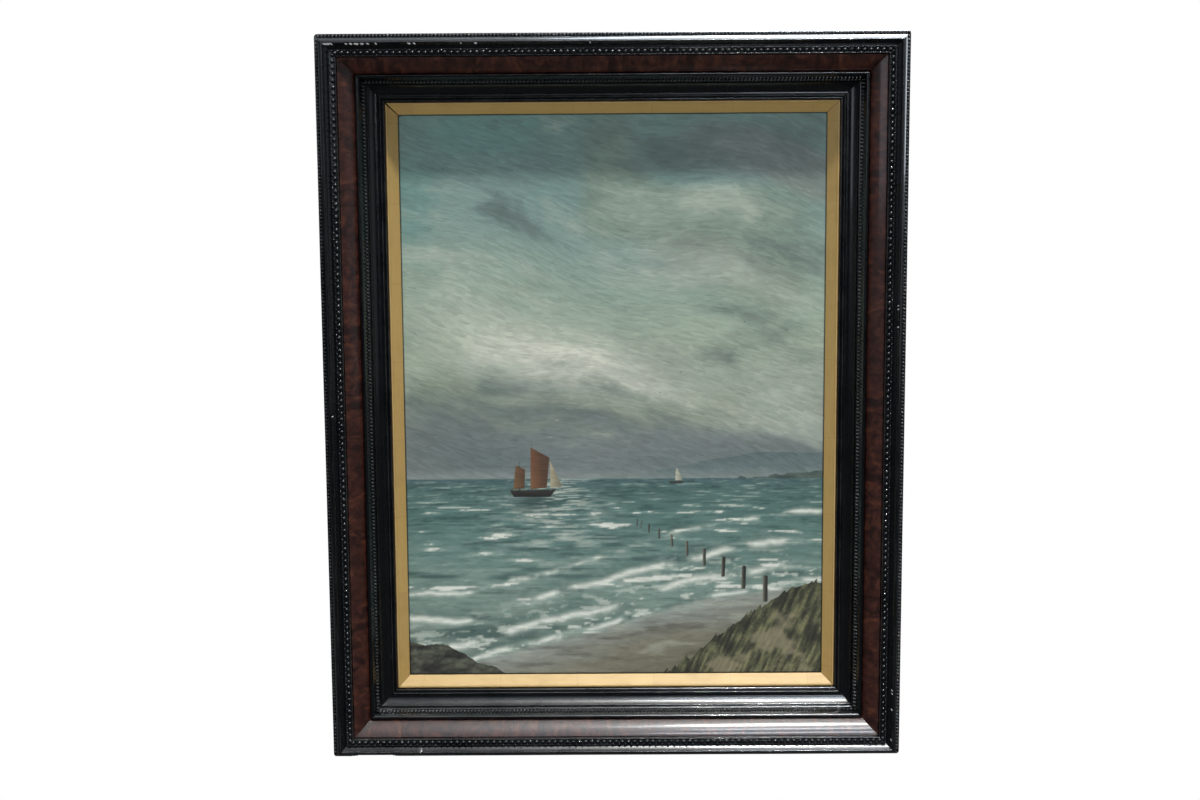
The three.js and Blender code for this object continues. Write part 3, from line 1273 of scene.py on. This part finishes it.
@dataclass(frozen=True)
class LinenBack:
    """Unprimed linen seen from behind: a plain weave, browned by age and stained unevenly.

    The threads stand 0.55 mm apart in life and are drawn 1.1 mm apart so that they show.
    """

    thread: str = "#a08a68"
    gap: str = "#5b4a34"
    stain: str = "#6f5a3d"

    def material(self) -> Material:
        """Builds the material on Object coordinates, across and up the sheet.

        Returns:
            The material.
        """
        n = Nodes(bpy.data.materials.new("Aged linen canvas"))
        place = n.place()
        weave = n.weave(place, 285.0, 0.6)
        age = n.noise(place, scale=9.0, detail=5.0, roughness=0.6)
        colour = n.mix(n.spread(age, 0.45, 0.7, end=0.6), n.mix(weave, self.gap, self.thread), self.stain)
        return n.finished(colour, 0.95, weave, 0.6, 0.0002)


# ---- The picture ---------------------------------------------------------------------------


def blend(first: Array, second: Array | str, share: Array) -> Array:
    """Mixes two colours, fields of colour or a hex value, by a share from 0 to 1 at each point."""
    share = np.clip(share, 0.0, 1.0)[..., None]
    return first * (1.0 - share) + (paint(second) if isinstance(second, str) else second) * share


def glazed(colour: Array, *glazes: tuple[str, Array]) -> Array:
    """Lays glazes over a field of colour in turn: each is a hex value and its share.

    Args:
        colour: the colour below, at each point.
        glazes: pairs of a hex value and its share at each point.

    Returns:
        The colour under all its glazes.
    """
    for tint, share in glazes:
        colour = blend(colour, tint, share)
    return colour


def graded(value: Array, *stops: tuple[float, str]) -> Array:
    """Runs through a list of colours as a value grows, with straight blends between the stops.

    Args:
        value: the value at each point.
        stops: pairs of a value and its hex colour, in rising order.

    Returns:
        A colour at each point.
    """
    places = [place for place, _ in stops]
    colours = np.array([paint(colour) for _, colour in stops])
    return np.stack([np.interp(value, places, colours[:, channel]) for channel in range(3)], axis=-1)


def convex(x: Array, y: Array, *corners: Point) -> Array:
    """Gives the signed distance to a convex shape: the greatest distance beyond any of its edges.

    Args:
        x: places across.
        y: places up.
        corners: the shape's corners, anticlockwise.

    Returns:
        Distances, below 0 inside.
    """
    distance = np.full_like(x, -1e6)
    for (x0, y0), (x1, y1) in zip(corners, corners[1:] + corners[:1]):
        length = math.hypot(x1 - x0, y1 - y0)
        distance = np.maximum(distance, ((x - x0) * (y1 - y0) - (y - y0) * (x1 - x0)) / length)
    return distance


@dataclass
class Layer:
    """A layer of painted shapes: how far each point is from the nearest, and that one's colour.

    The distance is in millimetres, below 0 inside a shape, and starts at far everywhere.
    """

    edge: Array
    tone: Array

    @classmethod
    def empty(cls, x: Array, far: float = 60.0) -> "Layer":
        """Starts a layer with no shapes on a grid."""
        return cls(np.full_like(x, far), np.zeros(x.shape + (3,)))

    def draw(self, distance: Array, colour: Array) -> None:
        """Adds a shape, which takes every point that is nearer to it than to those before.

        Args:
            distance: the signed distance to the shape.
            colour: the shape's colour, one or a field.
        """
        nearer = distance < self.edge
        self.edge = np.where(nearer, distance, self.edge)
        self.tone = np.where(nearer[..., None], colour, self.tone)


@dataclass
class CoastView:
    """The picture: a lugger under sail off a low coast, with a groyne and a grassy dune.

    Places are millimetres from the middle of the canvas across, and up from the horizon, which
    itself lies below the middle. The painted face stands at front, the cloth's back at back, and
    the turned edges end at turned_back. Cloud_fall is the slope of the clouds.
    """

    opening: Opening
    width: float = 457.2
    height: float = 609.6
    front: float = 18.98
    back: float = 18.2
    turned_back: float = 2.0
    cloth: float = 0.45
    horizon: float = -85.0
    cloud_fall: float = math.radians(16)
    boat_x: float = -88.0
    boat_y: float = -17.0
    boat_reach: float = 36.0

    def grid(self) -> tuple[Array, Array]:
        """Gives the places across and up of the sheet's points, closer together round the boat.

        Returns:
            Places across from the middle, and up from the horizon.
        """
        half = self.width / 2
        foot, head = -self.height / 2 - self.horizon, self.height / 2 - self.horizon
        left, right = self.boat_x - self.boat_reach, self.boat_x + self.boat_reach
        columns = runs((-half, left, right, half), (60, 68, 155))
        rows = runs((foot, -72.0, -28.0, 72.0, head), (84, 32, 92, 104))
        return np.meshgrid(columns, rows)

    def drift(self, x: Array, y: Array) -> tuple[Array, Array]:
        """Turns places to run along and across the clouds, which fall towards the right.

        Args:
            x: places across.
            y: places up.

        Returns:
            Places along and across the drift.
        """
        cosine, sine = math.cos(self.cloud_fall), math.sin(self.cloud_fall)
        sway = 16 * lattice_noise(x / 150, y / 120, 3)
        return x * cosine - y * sine, x * sine + y * cosine + sway

    def sky(self, x: Array, y: Array) -> tuple[Array, Array]:
        """Paints the sky.

        Height grades the ground colour. Cloud noise stretched along the drift darkens it to
        slate and lightens it to pale grey-green, and a bell of light breaks through at the left.

        Args:
            x: places across.
            y: places up.

        Returns:
            The colours and the paint's thickness.
        """
        along, across = self.drift(x, y)
        curl = cloud_noise(along / 130, across / 80, 21)
        big = cloud_noise(along / 170 + 0.8 * curl, across / 58 + 0.6 * curl, 33)
        small = cloud_noise(along / 52 + curl, across / 16 + 0.7 * curl, 47)
        mass = 0.72 * big + 0.42 * small
        colour = graded(y + 46 * curl, (0, "#7d8a88"), (38, "#8b9692"), (80, "#a3aea2"), (130, "#a9b9a6"),
                        (190, "#9db3a4"), (250, "#8fa8a0"), (310, "#7f9c97"), (390, "#6f9089"))
        teal = smoothstep(0.0, 0.55, lattice_noise(x / 120 + 4, y / 95, 8)) * smoothstep(120, -180, x)
        olive = smoothstep(0.05, 0.6, lattice_noise(x / 90, y / 70 + 9, 12))
        warm = smoothstep(0.05, 0.6, lattice_noise(along / 110 + 7, across / 60, 15))
        bank = smoothstep(74, 40, y + 26 * small + 20 * big + 0.06 * x)
        rift = ((x + 70) / 96) ** 2 + ((across - 112 + 14 * small) / 24) ** 2
        gleam = ((x - 60) / 110) ** 2 + ((across - 92 + 9 * small) / 8) ** 2
        light = 1.1 * np.exp(-rift * (1.0 + 0.5 * small)) * (0.75 + 0.8 * small)
        light = np.clip(light + 0.55 * np.exp(-gleam) * (0.7 + small), 0, 1)
        colour = glazed(
            colour,
            ("#6b9a94", 0.55 * teal * smoothstep(120, 230, y)),
            ("#83917a", 0.5 * olive),
            ("#8c8d88", 0.55 * (warm * smoothstep(-60, 150, x))),
            ("#5f706d", 0.75 * smoothstep(0.02, 0.62, -mass)),
            ("#b7c4b6", 0.75 * smoothstep(0.06, 0.60, mass)),
            ("#6f7b7c", 0.72 * bank),
            ("#e6e8da", light),
            ("#98a29d", 0.55 * smoothstep(13, 0, y + 3 * small)),
        )
        return colour, 0.25 + 0.35 * light + 0.25 * smoothstep(0.1, 0.6, mass)

    def shore(self, x: Array) -> Array:
        """Gives the waterline's height, which climbs towards the right."""
        return -204 + 92 * smoothstep(-190, 240, x) + 8 * lattice_noise(x / 58, 0 * x, 5)

    def sea(self, x: Array, y: Array) -> tuple[Array, Array]:
        """Paints the water and the wet sand.

        Waves are noise on a depth scale that grows as the logarithm of the distance below the
        horizon, so they widen towards the viewer. Surf lines follow the shore, and the foam
        between them is noise past a threshold.

        Args:
            x: places across.
            y: places up.

        Returns:
            The colours and the paint's thickness.
        """
        depth = np.maximum(-y, 0.0)
        row = 9.0 * np.log1p(depth / 10)
        wide = cloud_noise(x / (22 + 0.7 * depth), 1.5 * row, 51)
        fine = cloud_noise(x / (8 + 0.28 * depth), 3.4 * row, 61)
        crest = 0.62 * wide + 0.5 * fine
        colour = graded(depth, (0, "#4b696c"), (10, "#52726f"), (40, "#587b76"), (90, "#6c8b83"),
                        (150, "#80978c"), (220, "#8c9a8d"))
        glint = np.exp(-((x + 66 + 8 * wide) / (26 + 0.55 * depth)) ** 2) * smoothstep(160, 20, depth)
        colour = glazed(
            colour,
            ("#2f4e4c", 0.75 * smoothstep(0.02, 0.45, -crest)),
            ("#9db4aa", 0.70 * smoothstep(0.10, 0.5, crest)),
            ("#c3cdc2", 0.85 * glint * smoothstep(-0.15, 0.35, fine)),
        )
        cap = smoothstep(0.30, 0.40, crest) * smoothstep(12, 40, depth)
        out_to_sea = y - self.shore(x)
        foam = np.zeros_like(x)
        for place, reach, seed in ((5, 4.0, 71), (24, 5.0, 72), (50, 4.6, 73), (80, 3.4, 74)):
            bend = 7 * cloud_noise(x / 70, 0 * x + seed, seed)
            broken = smoothstep(-0.42, 0.25, cloud_noise(x / 34, 0 * x, seed + 9) + 0.45 * fine)
            off = out_to_sea - place - bend
            face = smoothstep(-0.2, 1.6, off / reach) * np.exp(-(off / (2.4 * reach)) ** 2)
            colour = blend(colour, "#3d615d", 0.8 * face * broken)
            foam = np.maximum(foam, np.exp(-(off / reach) ** 2 * (1 + 0.8 * fine)) * broken)
        lace = smoothstep(0.10, 0.34, cloud_noise(x / 15, y / 4.4, 81)) * smoothstep(86, 8, out_to_sea)
        foam = np.maximum(foam, 0.8 * lace)
        foam = np.maximum(foam * smoothstep(-6, 2, out_to_sea), cap)
        colour = blend(colour, graded(foam, (0, "#8fa39a"), (0.6, "#b9c6bb"), (1, "#e0e5db")), 1.15 * foam)
        mirror = np.exp(-((x - self.boat_x - 3 * wide) / 20) ** 2)
        mirror = mirror * smoothstep(-50, -18, y) * (y < self.boat_y)
        colour = blend(colour, "#3b463f", 0.75 * mirror * smoothstep(-0.4, 0.2, fine + 0.2))
        streak = cloud_noise(x / 46, y / 6, 91)
        sand = glazed(
            graded(14 * wide - out_to_sea,
                   (0, "#99a29a"), (12, "#8b9087"), (34, "#7c7a69"), (90, "#6b6853")),
            ("#4f4d41", 0.6 * smoothstep(0.05, 0.5, -streak)),
            ("#a5a898", 0.55 * smoothstep(0.15, 0.5, streak)),
        )
        colour = blend(colour, sand, smoothstep(1.5, -3.0, out_to_sea + 4 * fine))
        return colour, 0.3 + 0.7 * foam + 0.3 * glint

    def ground(self, x: Array, y: Array) -> Layer:
        """Paints the far hills, the dune with its grass, and a dark spit in the near corner.

        Args:
            x: places across.
            y: places up.

        Returns:
            The layer of land.
        """
        layer = Layer.empty(x)
        mottle = cloud_noise(x / 20, y / 7, 101)
        ridge = 25 * smoothstep(-30, 150, x) + 5 * cloud_noise(x / 55, 0 * x, 103) * smoothstep(-30, 30, x)
        hills = graded(y + 4 * mottle, (0, "#84908e"), (10, "#6d7d7e"), (30, "#5f7174"))
        layer.draw(np.maximum(y - ridge * smoothstep(-32, 0, x), -y + 0.4), hills)
        head = 13 * smoothstep(130, 226, x) + 2.5 * lattice_noise(x / 9, 0 * x, 107)
        point = graded(mottle, (-0.4, "#3f4f4d"), (0.4, "#596a63"))
        layer.draw(np.maximum(y - head, -y - 1.2) + 40 * (x < 132), point)
        tuft = 9 * np.abs(lattice_noise((x - 0.5 * y) / 3.1, 0.02 * y, 111)) ** 1.5
        dune = -222 + 104 * smoothstep(10, 225, x) + 9 * cloud_noise(x / 42, 0 * x, 113) + tuft
        blades = cloud_noise((x - 0.45 * y) / 2.6, (y + 0.3 * x) / 17, 117)
        patch = cloud_noise(x / 36, y / 22, 119)
        grass = graded(blades + 0.7 * patch, (-0.6, "#24251f"), (-0.1, "#3d3e31"), (0.25, "#5d6043"),
                       (0.6, "#84815c"))
        grass = blend(grass, "#8b8369", 0.7 * smoothstep(0.28, 0.5, patch))
        layer.draw((y - dune) * 0.85, grass)
        spit = -222 + 46 * smoothstep(-70, -225, x) + 8 * cloud_noise(x / 17, 0 * x, 123)
        weed = cloud_noise(x / 12, y / 5, 127)
        weed = graded(weed, (-0.5, "#232421"), (0.0, "#3a3b35"), (0.5, "#5f6353"))
        layer.draw((y - spit) * 0.9, weed)
        return layer

    def groyne(self, layer: Layer, x: Array, y: Array) -> None:
        """Paints a row of posts that walks out from the beach and shrinks with distance.

        Args:
            layer: the layer that the posts join.
            x: places across.
            y: places up.
        """
        for step in np.linspace(0.0, 1.0, 10):
            near = (1.0 - step) ** 1.6
            foot_x, foot_y = 24 + 138 * near, -52 - 84 * near
            half, tall = 0.75 + 1.9 * near, 8 + 21 * near
            lean = 0.9 * math.sin(9 * step)
            a, b = x - foot_x, y - foot_y
            post = convex(a, b, (-half, 0), (half, 0), (half + lean, tall), (lean - half, tall + 0.5))
            side = graded(a / half, (-0.9, "#7c7c6c"), (-0.2, "#45443c"), (0.8, "#22221f"))
            layer.draw(post, side)

    def boats(self, x: Array, y: Array) -> Layer:
        """Paints the lugger with brown sails, a pale sail far off, and gulls.

        Args:
            x: places across.
            y: places up.

        Returns:
            The layer of boats and birds.
        """
        layer = Layer.empty(x)
        a, b = x - self.boat_x, y - self.boat_y
        seams = 0.5 + 0.5 * np.sin(2 * math.pi * (a + 0.18 * b) / 3.4)
        belly = graded(a + 0.15 * b, (-4, "#8d6845"), (6, "#775238"), (16, "#58402f"))
        belly = blend(belly, "#4a3629", 0.25 * seams)
        layer.draw(convex(a, b, (-2, 6), (15.5, 7), (18.5, 40), (-1.5, 51)), belly)
        aft = blend(graded(a, (-20, "#80603f"), (-8, "#573f2e")), paint("#45352a"), 0.25 * seams)
        layer.draw(convex(a, b, (-20.5, 6), (-8.5, 6.5), (-7.5, 27), (-17.5, 32)), aft)
        jib = graded(a, (18, "#b0a88c"), (30, "#7e7964"))
        layer.draw(convex(a, b, (19.5, 7), (32, 8.5), (19, 37)), jib)
        for mast_x, top in ((-0.4, 55.0), (-13.6, 36.0)):
            mast = convex(a - mast_x, b, (-0.45, 3), (0.45, 3), (0.3, top), (-0.3, top))
            layer.draw(mast, paint("#2f2a25"))
        hull = convex(a, b, (-20, -2.6), (19, -2.6), (26, 6.2), (-24.5, 5.2))
        sheer = np.maximum(hull, 3.1 + 0.0016 * a ** 2 - b)
        layer.draw(hull + 1.2 * (b > 4.2 + 0.0026 * a ** 2), graded(b, (-2, "#1f2020"), (3, "#34332f")))
        layer.draw(np.maximum(sheer, b - 4.3 - 0.0016 * a ** 2), paint("#8d8c7b"))
        c, d = x - 66, y + 5
        layer.draw(convex(c, d, (-7, -1), (7, -1), (8.5, 2), (-8, 2)), paint("#39403e"))
        layer.draw(convex(c, d, (-1, 2.6), (7, 2.6), (0, 19)), graded(c, (-1, "#c3c3b0"), (6, "#8f9384")))
        for gull_x, gull_y, span in ((-116, 52, 5.0), (-66, 44, 4.2), (-58, 62, 5.6)):
            u, v = (x - gull_x) / span, (y - gull_y) / span
            spread = np.abs(u)
            arch = 0.42 * np.sqrt(spread + 0.02) - 0.30 * u ** 2
            wing = np.abs(v - arch) * span - 0.42 * (1 - 0.6 * spread)
            feathers = graded(u, (-1, "#dfe2d8"), (0.4, "#6e7774"))
            layer.draw(np.maximum(wing, (spread - 1) * span), feathers)
        return layer

    def strokes(self, x: Array, y: Array, ground: Layer) -> Array:
        """Gives the brush's own coordinates: along and across its strokes, in metres.

        The brush follows the drift in the sky, runs level on the water, and climbs on the dune.

        Args:
            x: places across.
            y: places up.
            ground: the layer of land, which tells where the dune is.

        Returns:
            The distances along and across the strokes, and 0, at each point.
        """
        along, across = self.drift(x, y)
        sway = 5 * lattice_noise(x / 40, y / 26, 131)
        sea_across = y + sway * 0.5
        lean = math.radians(62)
        climb = (x * math.cos(lean) + y * math.sin(lean), y * math.cos(lean) - x * math.sin(lean) + sway)
        on_sea, on_dune = y < 0, (ground.edge < 0) & (y < -30)
        s = np.where(on_dune, climb[0], np.where(on_sea, x + sway, along))
        t = np.where(on_dune, climb[1], np.where(on_sea, sea_across, across))
        return np.stack([s, t, np.zeros_like(s)], axis=-1) * MM

    def sheet(self, x: Array, y: Array) -> tuple[Array, Array, Array, Faces]:
        """Works out one closed sheet: the painted front, the turned edges and the bare back.

        The front is the grid. Its border runs back over the stretcher's sides, folds in by the
        cloth's thickness, and returns to the flat back.

        Args:
            x: the grid's places across.
            y: the grid's places up from the horizon.

        Returns:
            The points and their places on the flat cloth, both in metres, the number of the grid
            point that each of them continues, and the faces.
        """
        z = y + self.horizon
        rows, columns = x.shape
        number = np.arange(rows * columns).reshape(rows, columns)
        border = np.concatenate([number[0, :-1], number[:-1, -1], number[-1, :0:-1], number[:0:-1, 0]])
        edge_x, edge_z = x.ravel()[border], z.ravel()[border]
        half_x, half_z = self.width / 2 - self.cloth, self.height / 2 - self.cloth
        inner_x, inner_z = np.clip(edge_x, -half_x, half_x), np.clip(edge_z, -half_z, half_z)
        flat_x = np.concatenate([x.ravel(), edge_x, inner_x, inner_x])
        flat_z = np.concatenate([z.ravel(), edge_z, inner_z, inner_z])
        levels = (self.front, self.turned_back, self.turned_back, self.back)
        heights = np.repeat(levels, [x.size] + 3 * [len(border)])
        points = np.stack([flat_x, -heights, flat_z + self.opening.centre], axis=-1) * MM
        cloth = np.stack([flat_x + heights, flat_z], axis=-1) * MM
        front = np.stack([number[:-1, :-1], number[:-1, 1:], number[1:, 1:], number[1:, :-1]], axis=-1)
        loops = [border] + [x.size + ring * len(border) + np.arange(len(border)) for ring in range(3)]
        sides = [np.stack([a, b, np.roll(b, -1), np.roll(a, -1)], axis=-1)
                 for a, b in zip(loops, loops[1:])]
        bare = np.array(1)
        faces = [(front.reshape(-1, 4), np.array(0)), (np.concatenate(sides), bare),
                 (loops[-1][None, ::-1], bare)]
        return points, cloth, np.concatenate([number.ravel(), np.tile(border, 3)]), faces

    def build(self, materials: list[Material]) -> Piece:
        """Makes the canvas, with the painting's layers kept as values at its points.

        Args:
            materials: the finishes of the painted front and of the bare cloth.

        Returns:
            The canvas.
        """
        x, y = self.grid()
        sky, sky_body = self.sky(x, y)
        sea, sea_body = self.sea(x, y)
        on_sky = smoothstep(-0.8, 0.8, y)
        ground = self.ground(x, y)
        self.groyne(ground, x, y)
        figures = self.boats(x, y)
        sight_x = self.opening.half_width - GiltSlip.width
        sight_y = self.opening.half_height - GiltSlip.width
        fields = {
            "under": blend(sea, sky, on_sky),
            "ground_tone": ground.tone,
            "figure_tone": figures.tone,
            "ground_edge": ground.edge,
            "figure_edge": figures.edge,
            "thickness": sea_body * (1 - on_sky) + sky_body * on_sky,
            "rim": np.minimum(sight_x - np.abs(x), sight_y - np.abs(y + self.horizon)),
            "stroke": self.strokes(x, y, ground),
        }
        points, cloth, origin, faces = self.sheet(x, y)
        shell = Shell()
        shell.add(points, faces, cloth, **{
            name: values.reshape(x.size, *values.shape[2:])[origin] for name, values in fields.items()})
        canvas = shell.build("coast_view_canvas", materials)
        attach(canvas, "root")
        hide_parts("painted_canvas")
        LOG.info("%s: %d faces", canvas.name, len(canvas.data.polygons))
        return canvas


# ---- Stage ---------------------------------------------------------------------------------


@dataclass
class Studio:
    """The camera, the lights, the pale surroundings and the plain floor, in metres and radians.

    The camera stands at stand from the picture's middle. The floor lies floor_drop below the
    frame's lowest point.
    """

    centre: Vector
    lowest: float
    lens: float = 45.0
    sensor: float = 36.0
    stand: tuple[float, float, float] = (-0.0089, -1.6033, 0.1859)
    yaw: float = -0.00381
    pitch: float = -0.11707
    roll: float = -0.00656
    floor_drop: float = 0.35
    floor_reach: float = 6.0

    def camera(self) -> None:
        """Stands the camera a little above the picture's middle, looking slightly down."""
        data = bpy.data.cameras.new("camera")
        data.lens = self.lens
        data.sensor_width = self.sensor
        data.sensor_fit = "HORIZONTAL"
        data.clip_start = 0.01
        forward = Vector((math.sin(self.yaw) * math.cos(self.pitch),
                          math.cos(self.yaw) * math.cos(self.pitch), math.sin(self.pitch)))
        right = Vector((math.cos(self.yaw), -math.sin(self.yaw), 0.0))
        up = right.cross(forward)
        turned = right * math.cos(self.roll) + up * math.sin(self.roll)
        raised = up * math.cos(self.roll) - right * math.sin(self.roll)
        place = self.centre + Vector(self.stand)
        camera = placed("camera", data)
        camera.matrix_world = Matrix((
            (turned.x, raised.x, -forward.x, place.x), (turned.y, raised.y, -forward.y, place.y),
            (turned.z, raised.z, -forward.z, place.z), (0, 0, 0, 1)))
        bpy.context.scene.camera = camera

    def lamp(
        self, name: str, place: Vector, target: Vector, size: Point, power: float, tint: str
    ) -> Piece:
        """Hangs one rectangular lamp.

        Args:
            name: the lamp's name.
            place: where it hangs.
            target: what it faces.
            size: its width and height.
            power: its power in watts.
            tint: its colour.

        Returns:
            The lamp.
        """
        data = bpy.data.lights.new(name, "AREA")
        data.shape = "RECTANGLE"
        data.size, data.size_y = size
        data.energy = power
        data.color = linear(tint)[:3]
        lamp = placed(name, data)
        lamp.location = place
        lamp.visible_camera = False
        lamp.rotation_euler = (target - place).to_track_quat("-Z", "Y").to_euler()
        return lamp

    def lights(self) -> None:
        """Hangs a hard lamp high in front, whose light the top rail cuts off, and soft ones round it.

        The second group lights the wood without showing in its polish. The third shows in the
        polish as a ceiling's rows of diffusers and a room's windows, and lights nothing.
        """
        c = self.centre
        self.lamp("ceiling_tube", c + Vector((0.66, -1.75, 4.05)), c, (0.65, 0.05), 142.0, "#fffaf2")
        self.lamp("soft_left", c + Vector((-2.2, -1.6, 1.0)), c, (1.2, 1.6), 8.0, "#eef3ff")
        for name, place, size, power in (
            ("room_fill", (-0.4, -3.2, -0.2), (3.0, 1.2), 12.0),
            ("floor_bounce", (0.0, -1.0, -0.66), (1.6, 0.6), 10.0),
            ("back_fill", (-1.0, 2.2, 0.9), (1.6, 1.6), 42.0),
        ):
            fill = self.lamp(name, c + Vector(place), c, size, power, "#f6f8fa")
            fill.visible_glossy = False
        for name, place, size, power in (
            ("diffuser", (0.95, -1.75, 4.1), (2.0, 0.30), 48.0),
            ("second_row", (0.95, -2.95, 4.1), (1.3, 0.20), 40.0),
            ("third_row", (0.95, -4.5, 4.1), (1.5, 0.22), 52.0),
            ("side_window", (1.00, -3.2, 1.12), (1.2, 0.60), 16.0),
            ("overhead", (1.15, 0.5, 3.3), (1.8, 2.2), 80.0),
            ("back_window", (1.00, 1.9, 1.9), (1.9, 2.4), 170.0),
        ):
            row = self.lamp(name, c + Vector(place), c, size, power, "#e2edf8")
            row.visible_diffuse = False

    def surroundings(self) -> None:
        """Sets what lights and reflects from all round: bright overhead, dim at eye level.

        The eye sees plain white. Everything else gets a grey that grows with the height of the
        direction, as under a lit ceiling, and towards the right, where a window would be.
        """
        world = bpy.data.worlds.new("surroundings")
        bpy.context.scene.world = world
        n = Nodes(world)
        # Each spread takes one part of the direction, from -1 to 1, and gives a brightness.
        x, y, z = n.add("SeparateXYZ", {0: n.add("TexCoord", {}, "Generated")}).node.outputs
        ray = n.add("LightPath", {}).node.outputs
        ceiling = n.times(n.spread(z, 0.10, 0.70, 0.0, 0.62, "SMOOTHSTEP"),
                          n.spread(x, -0.25, 0.25, 0.55, 1.5, "SMOOTHSTEP"))
        wall = n.times(n.spread(y, 0.2, 0.9, how="SMOOTHSTEP"), n.maths("GREATER_THAN", z, 0.03))
        wall = n.times(wall, n.spread(x, -0.12, 0.20, 0.10, 1.8, "SMOOTHSTEP"))
        sides = n.maths("ADD", n.spread(x, 0.78, 0.98, 0.0, 0.35, "SMOOTHSTEP"),
                        n.spread(x, -0.98, -0.78, 0.12, 0.0, "SMOOTHSTEP"))
        strength = n.maths("MAXIMUM", n.maths("MAXIMUM", ceiling, wall), sides)
        for_diffuse = n.spread(ray["Is Diffuse Ray"], 0.0, 1.0, 1.0, 0.4)
        shared = n.times(n.maths("ADD", strength, 0.006), for_diffuse)
        glow = n.add("Background", {"Color": linear("#dfe8f2"), "Strength": shared})
        white = n.add("Background", {"Color": (1, 1, 1, 1), "Strength": 1.0})
        seen = n.add("MixShader", {0: ray["Is Camera Ray"], 1: glow, 2: white})
        add_node(n.tree, "ShaderNodeOutputWorld", {"Surface": seen})
        bpy.context.scene.view_settings.view_transform = "Standard"

    def floor(self) -> None:
        """Lays a plain pale floor below the hanging frame."""
        mesh = bpy.data.meshes.new("floor")
        reach, level = self.floor_reach, self.lowest - self.floor_drop
        mesh.from_pydata([(-reach, -reach, level), (reach, -reach, level), (reach, reach, level),
                          (-reach, reach, level)], [], [(0, 1, 2, 3)])
        floor = placed("floor", mesh)
        n = Nodes(bpy.data.materials.new("Pale plain floor"))
        matt = n.add("BsdfDiffuse", {"Color": (0.05, 0.05, 0.05, 1)})
        bright = n.add("Emission", {"Color": (1, 1, 1, 1), "Strength": 1.0})
        seen = n.add("MixShader", {0: n.add("LightPath", {}, "Is Camera Ray"), 1: matt, 2: bright})
        add_node(n.tree, "ShaderNodeOutputMaterial", {"Surface": seen})
        mesh.materials.append(n.owner)

    def build(self) -> None:
        """Sets up everything that isn't the picture."""
        self.camera()
        self.lights()
        self.surroundings()
        self.floor()
        LOG.info("studio ready")


def measure_opening() -> Opening:
    """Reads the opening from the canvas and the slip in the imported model.

    Returns:
        The opening that the slip's outer edge bounds.
    """
    canvas_low, canvas_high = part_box("painted_canvas")
    top_low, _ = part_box("gilt_slip_top")
    _, left_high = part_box("gilt_slip_left")
    centre = (canvas_low[2] + canvas_high[2]) / 2
    return Opening(
        half_width=-left_high[0] / MM + GiltSlip.width,
        half_height=(top_low[2] - centre) / MM + GiltSlip.width,
        centre=centre / MM,
    )


def main() -> None:
    """Builds the studio, the frame and the picture, and reports each piece."""
    opening = measure_opening()
    Studio(Vector((0.0, 0.0, opening.centre * MM)), cad_box[0][2]).build()
    ebonised, burr = EbonisedWood().material(), BurrVeneer().material()
    gilt, pine = Gilding().material(), BarePine().material()
    carcass = BarePine("Stained carcass wood", "#7d5f3d", "#5a3f24", "#33261a").material()
    mouldings = (
        (OuterMoulding(opening, "outer_moulding", "beaded_outer_rail", "ebonised_wood",
                       outer_losses(), OUTER_BEADS, corner_radius=5.0), [ebonised, carcass]),
        (BurrBand(opening, "veneered_band", "burr_band", "burr_veneer"), [burr, carcass]),
        (InnerMoulding(opening, "inner_moulding", "stepped_inner_rail", "ebonised_wood",
                       beads=INNER_PEARLS), [ebonised, carcass]),
        (GiltSlip(opening, "gilt_slip", "gilded_slip", "gilt_wood", open_mitre=0.8), [gilt, carcass]),
        (StretcherBar(opening, "stretcher_bar", "pine_stretcher", "bare_pine"), [pine, pine]),
    )
    for moulding, materials in mouldings:
        for side in Side:
            moulding.build(side, materials)
    CoastView(opening).build([OilPaint().material(), LinenBack().material()])


if __name__ == "__main__":
    logging.basicConfig(level=logging.INFO, format="%(name)s: %(message)s")
    main()
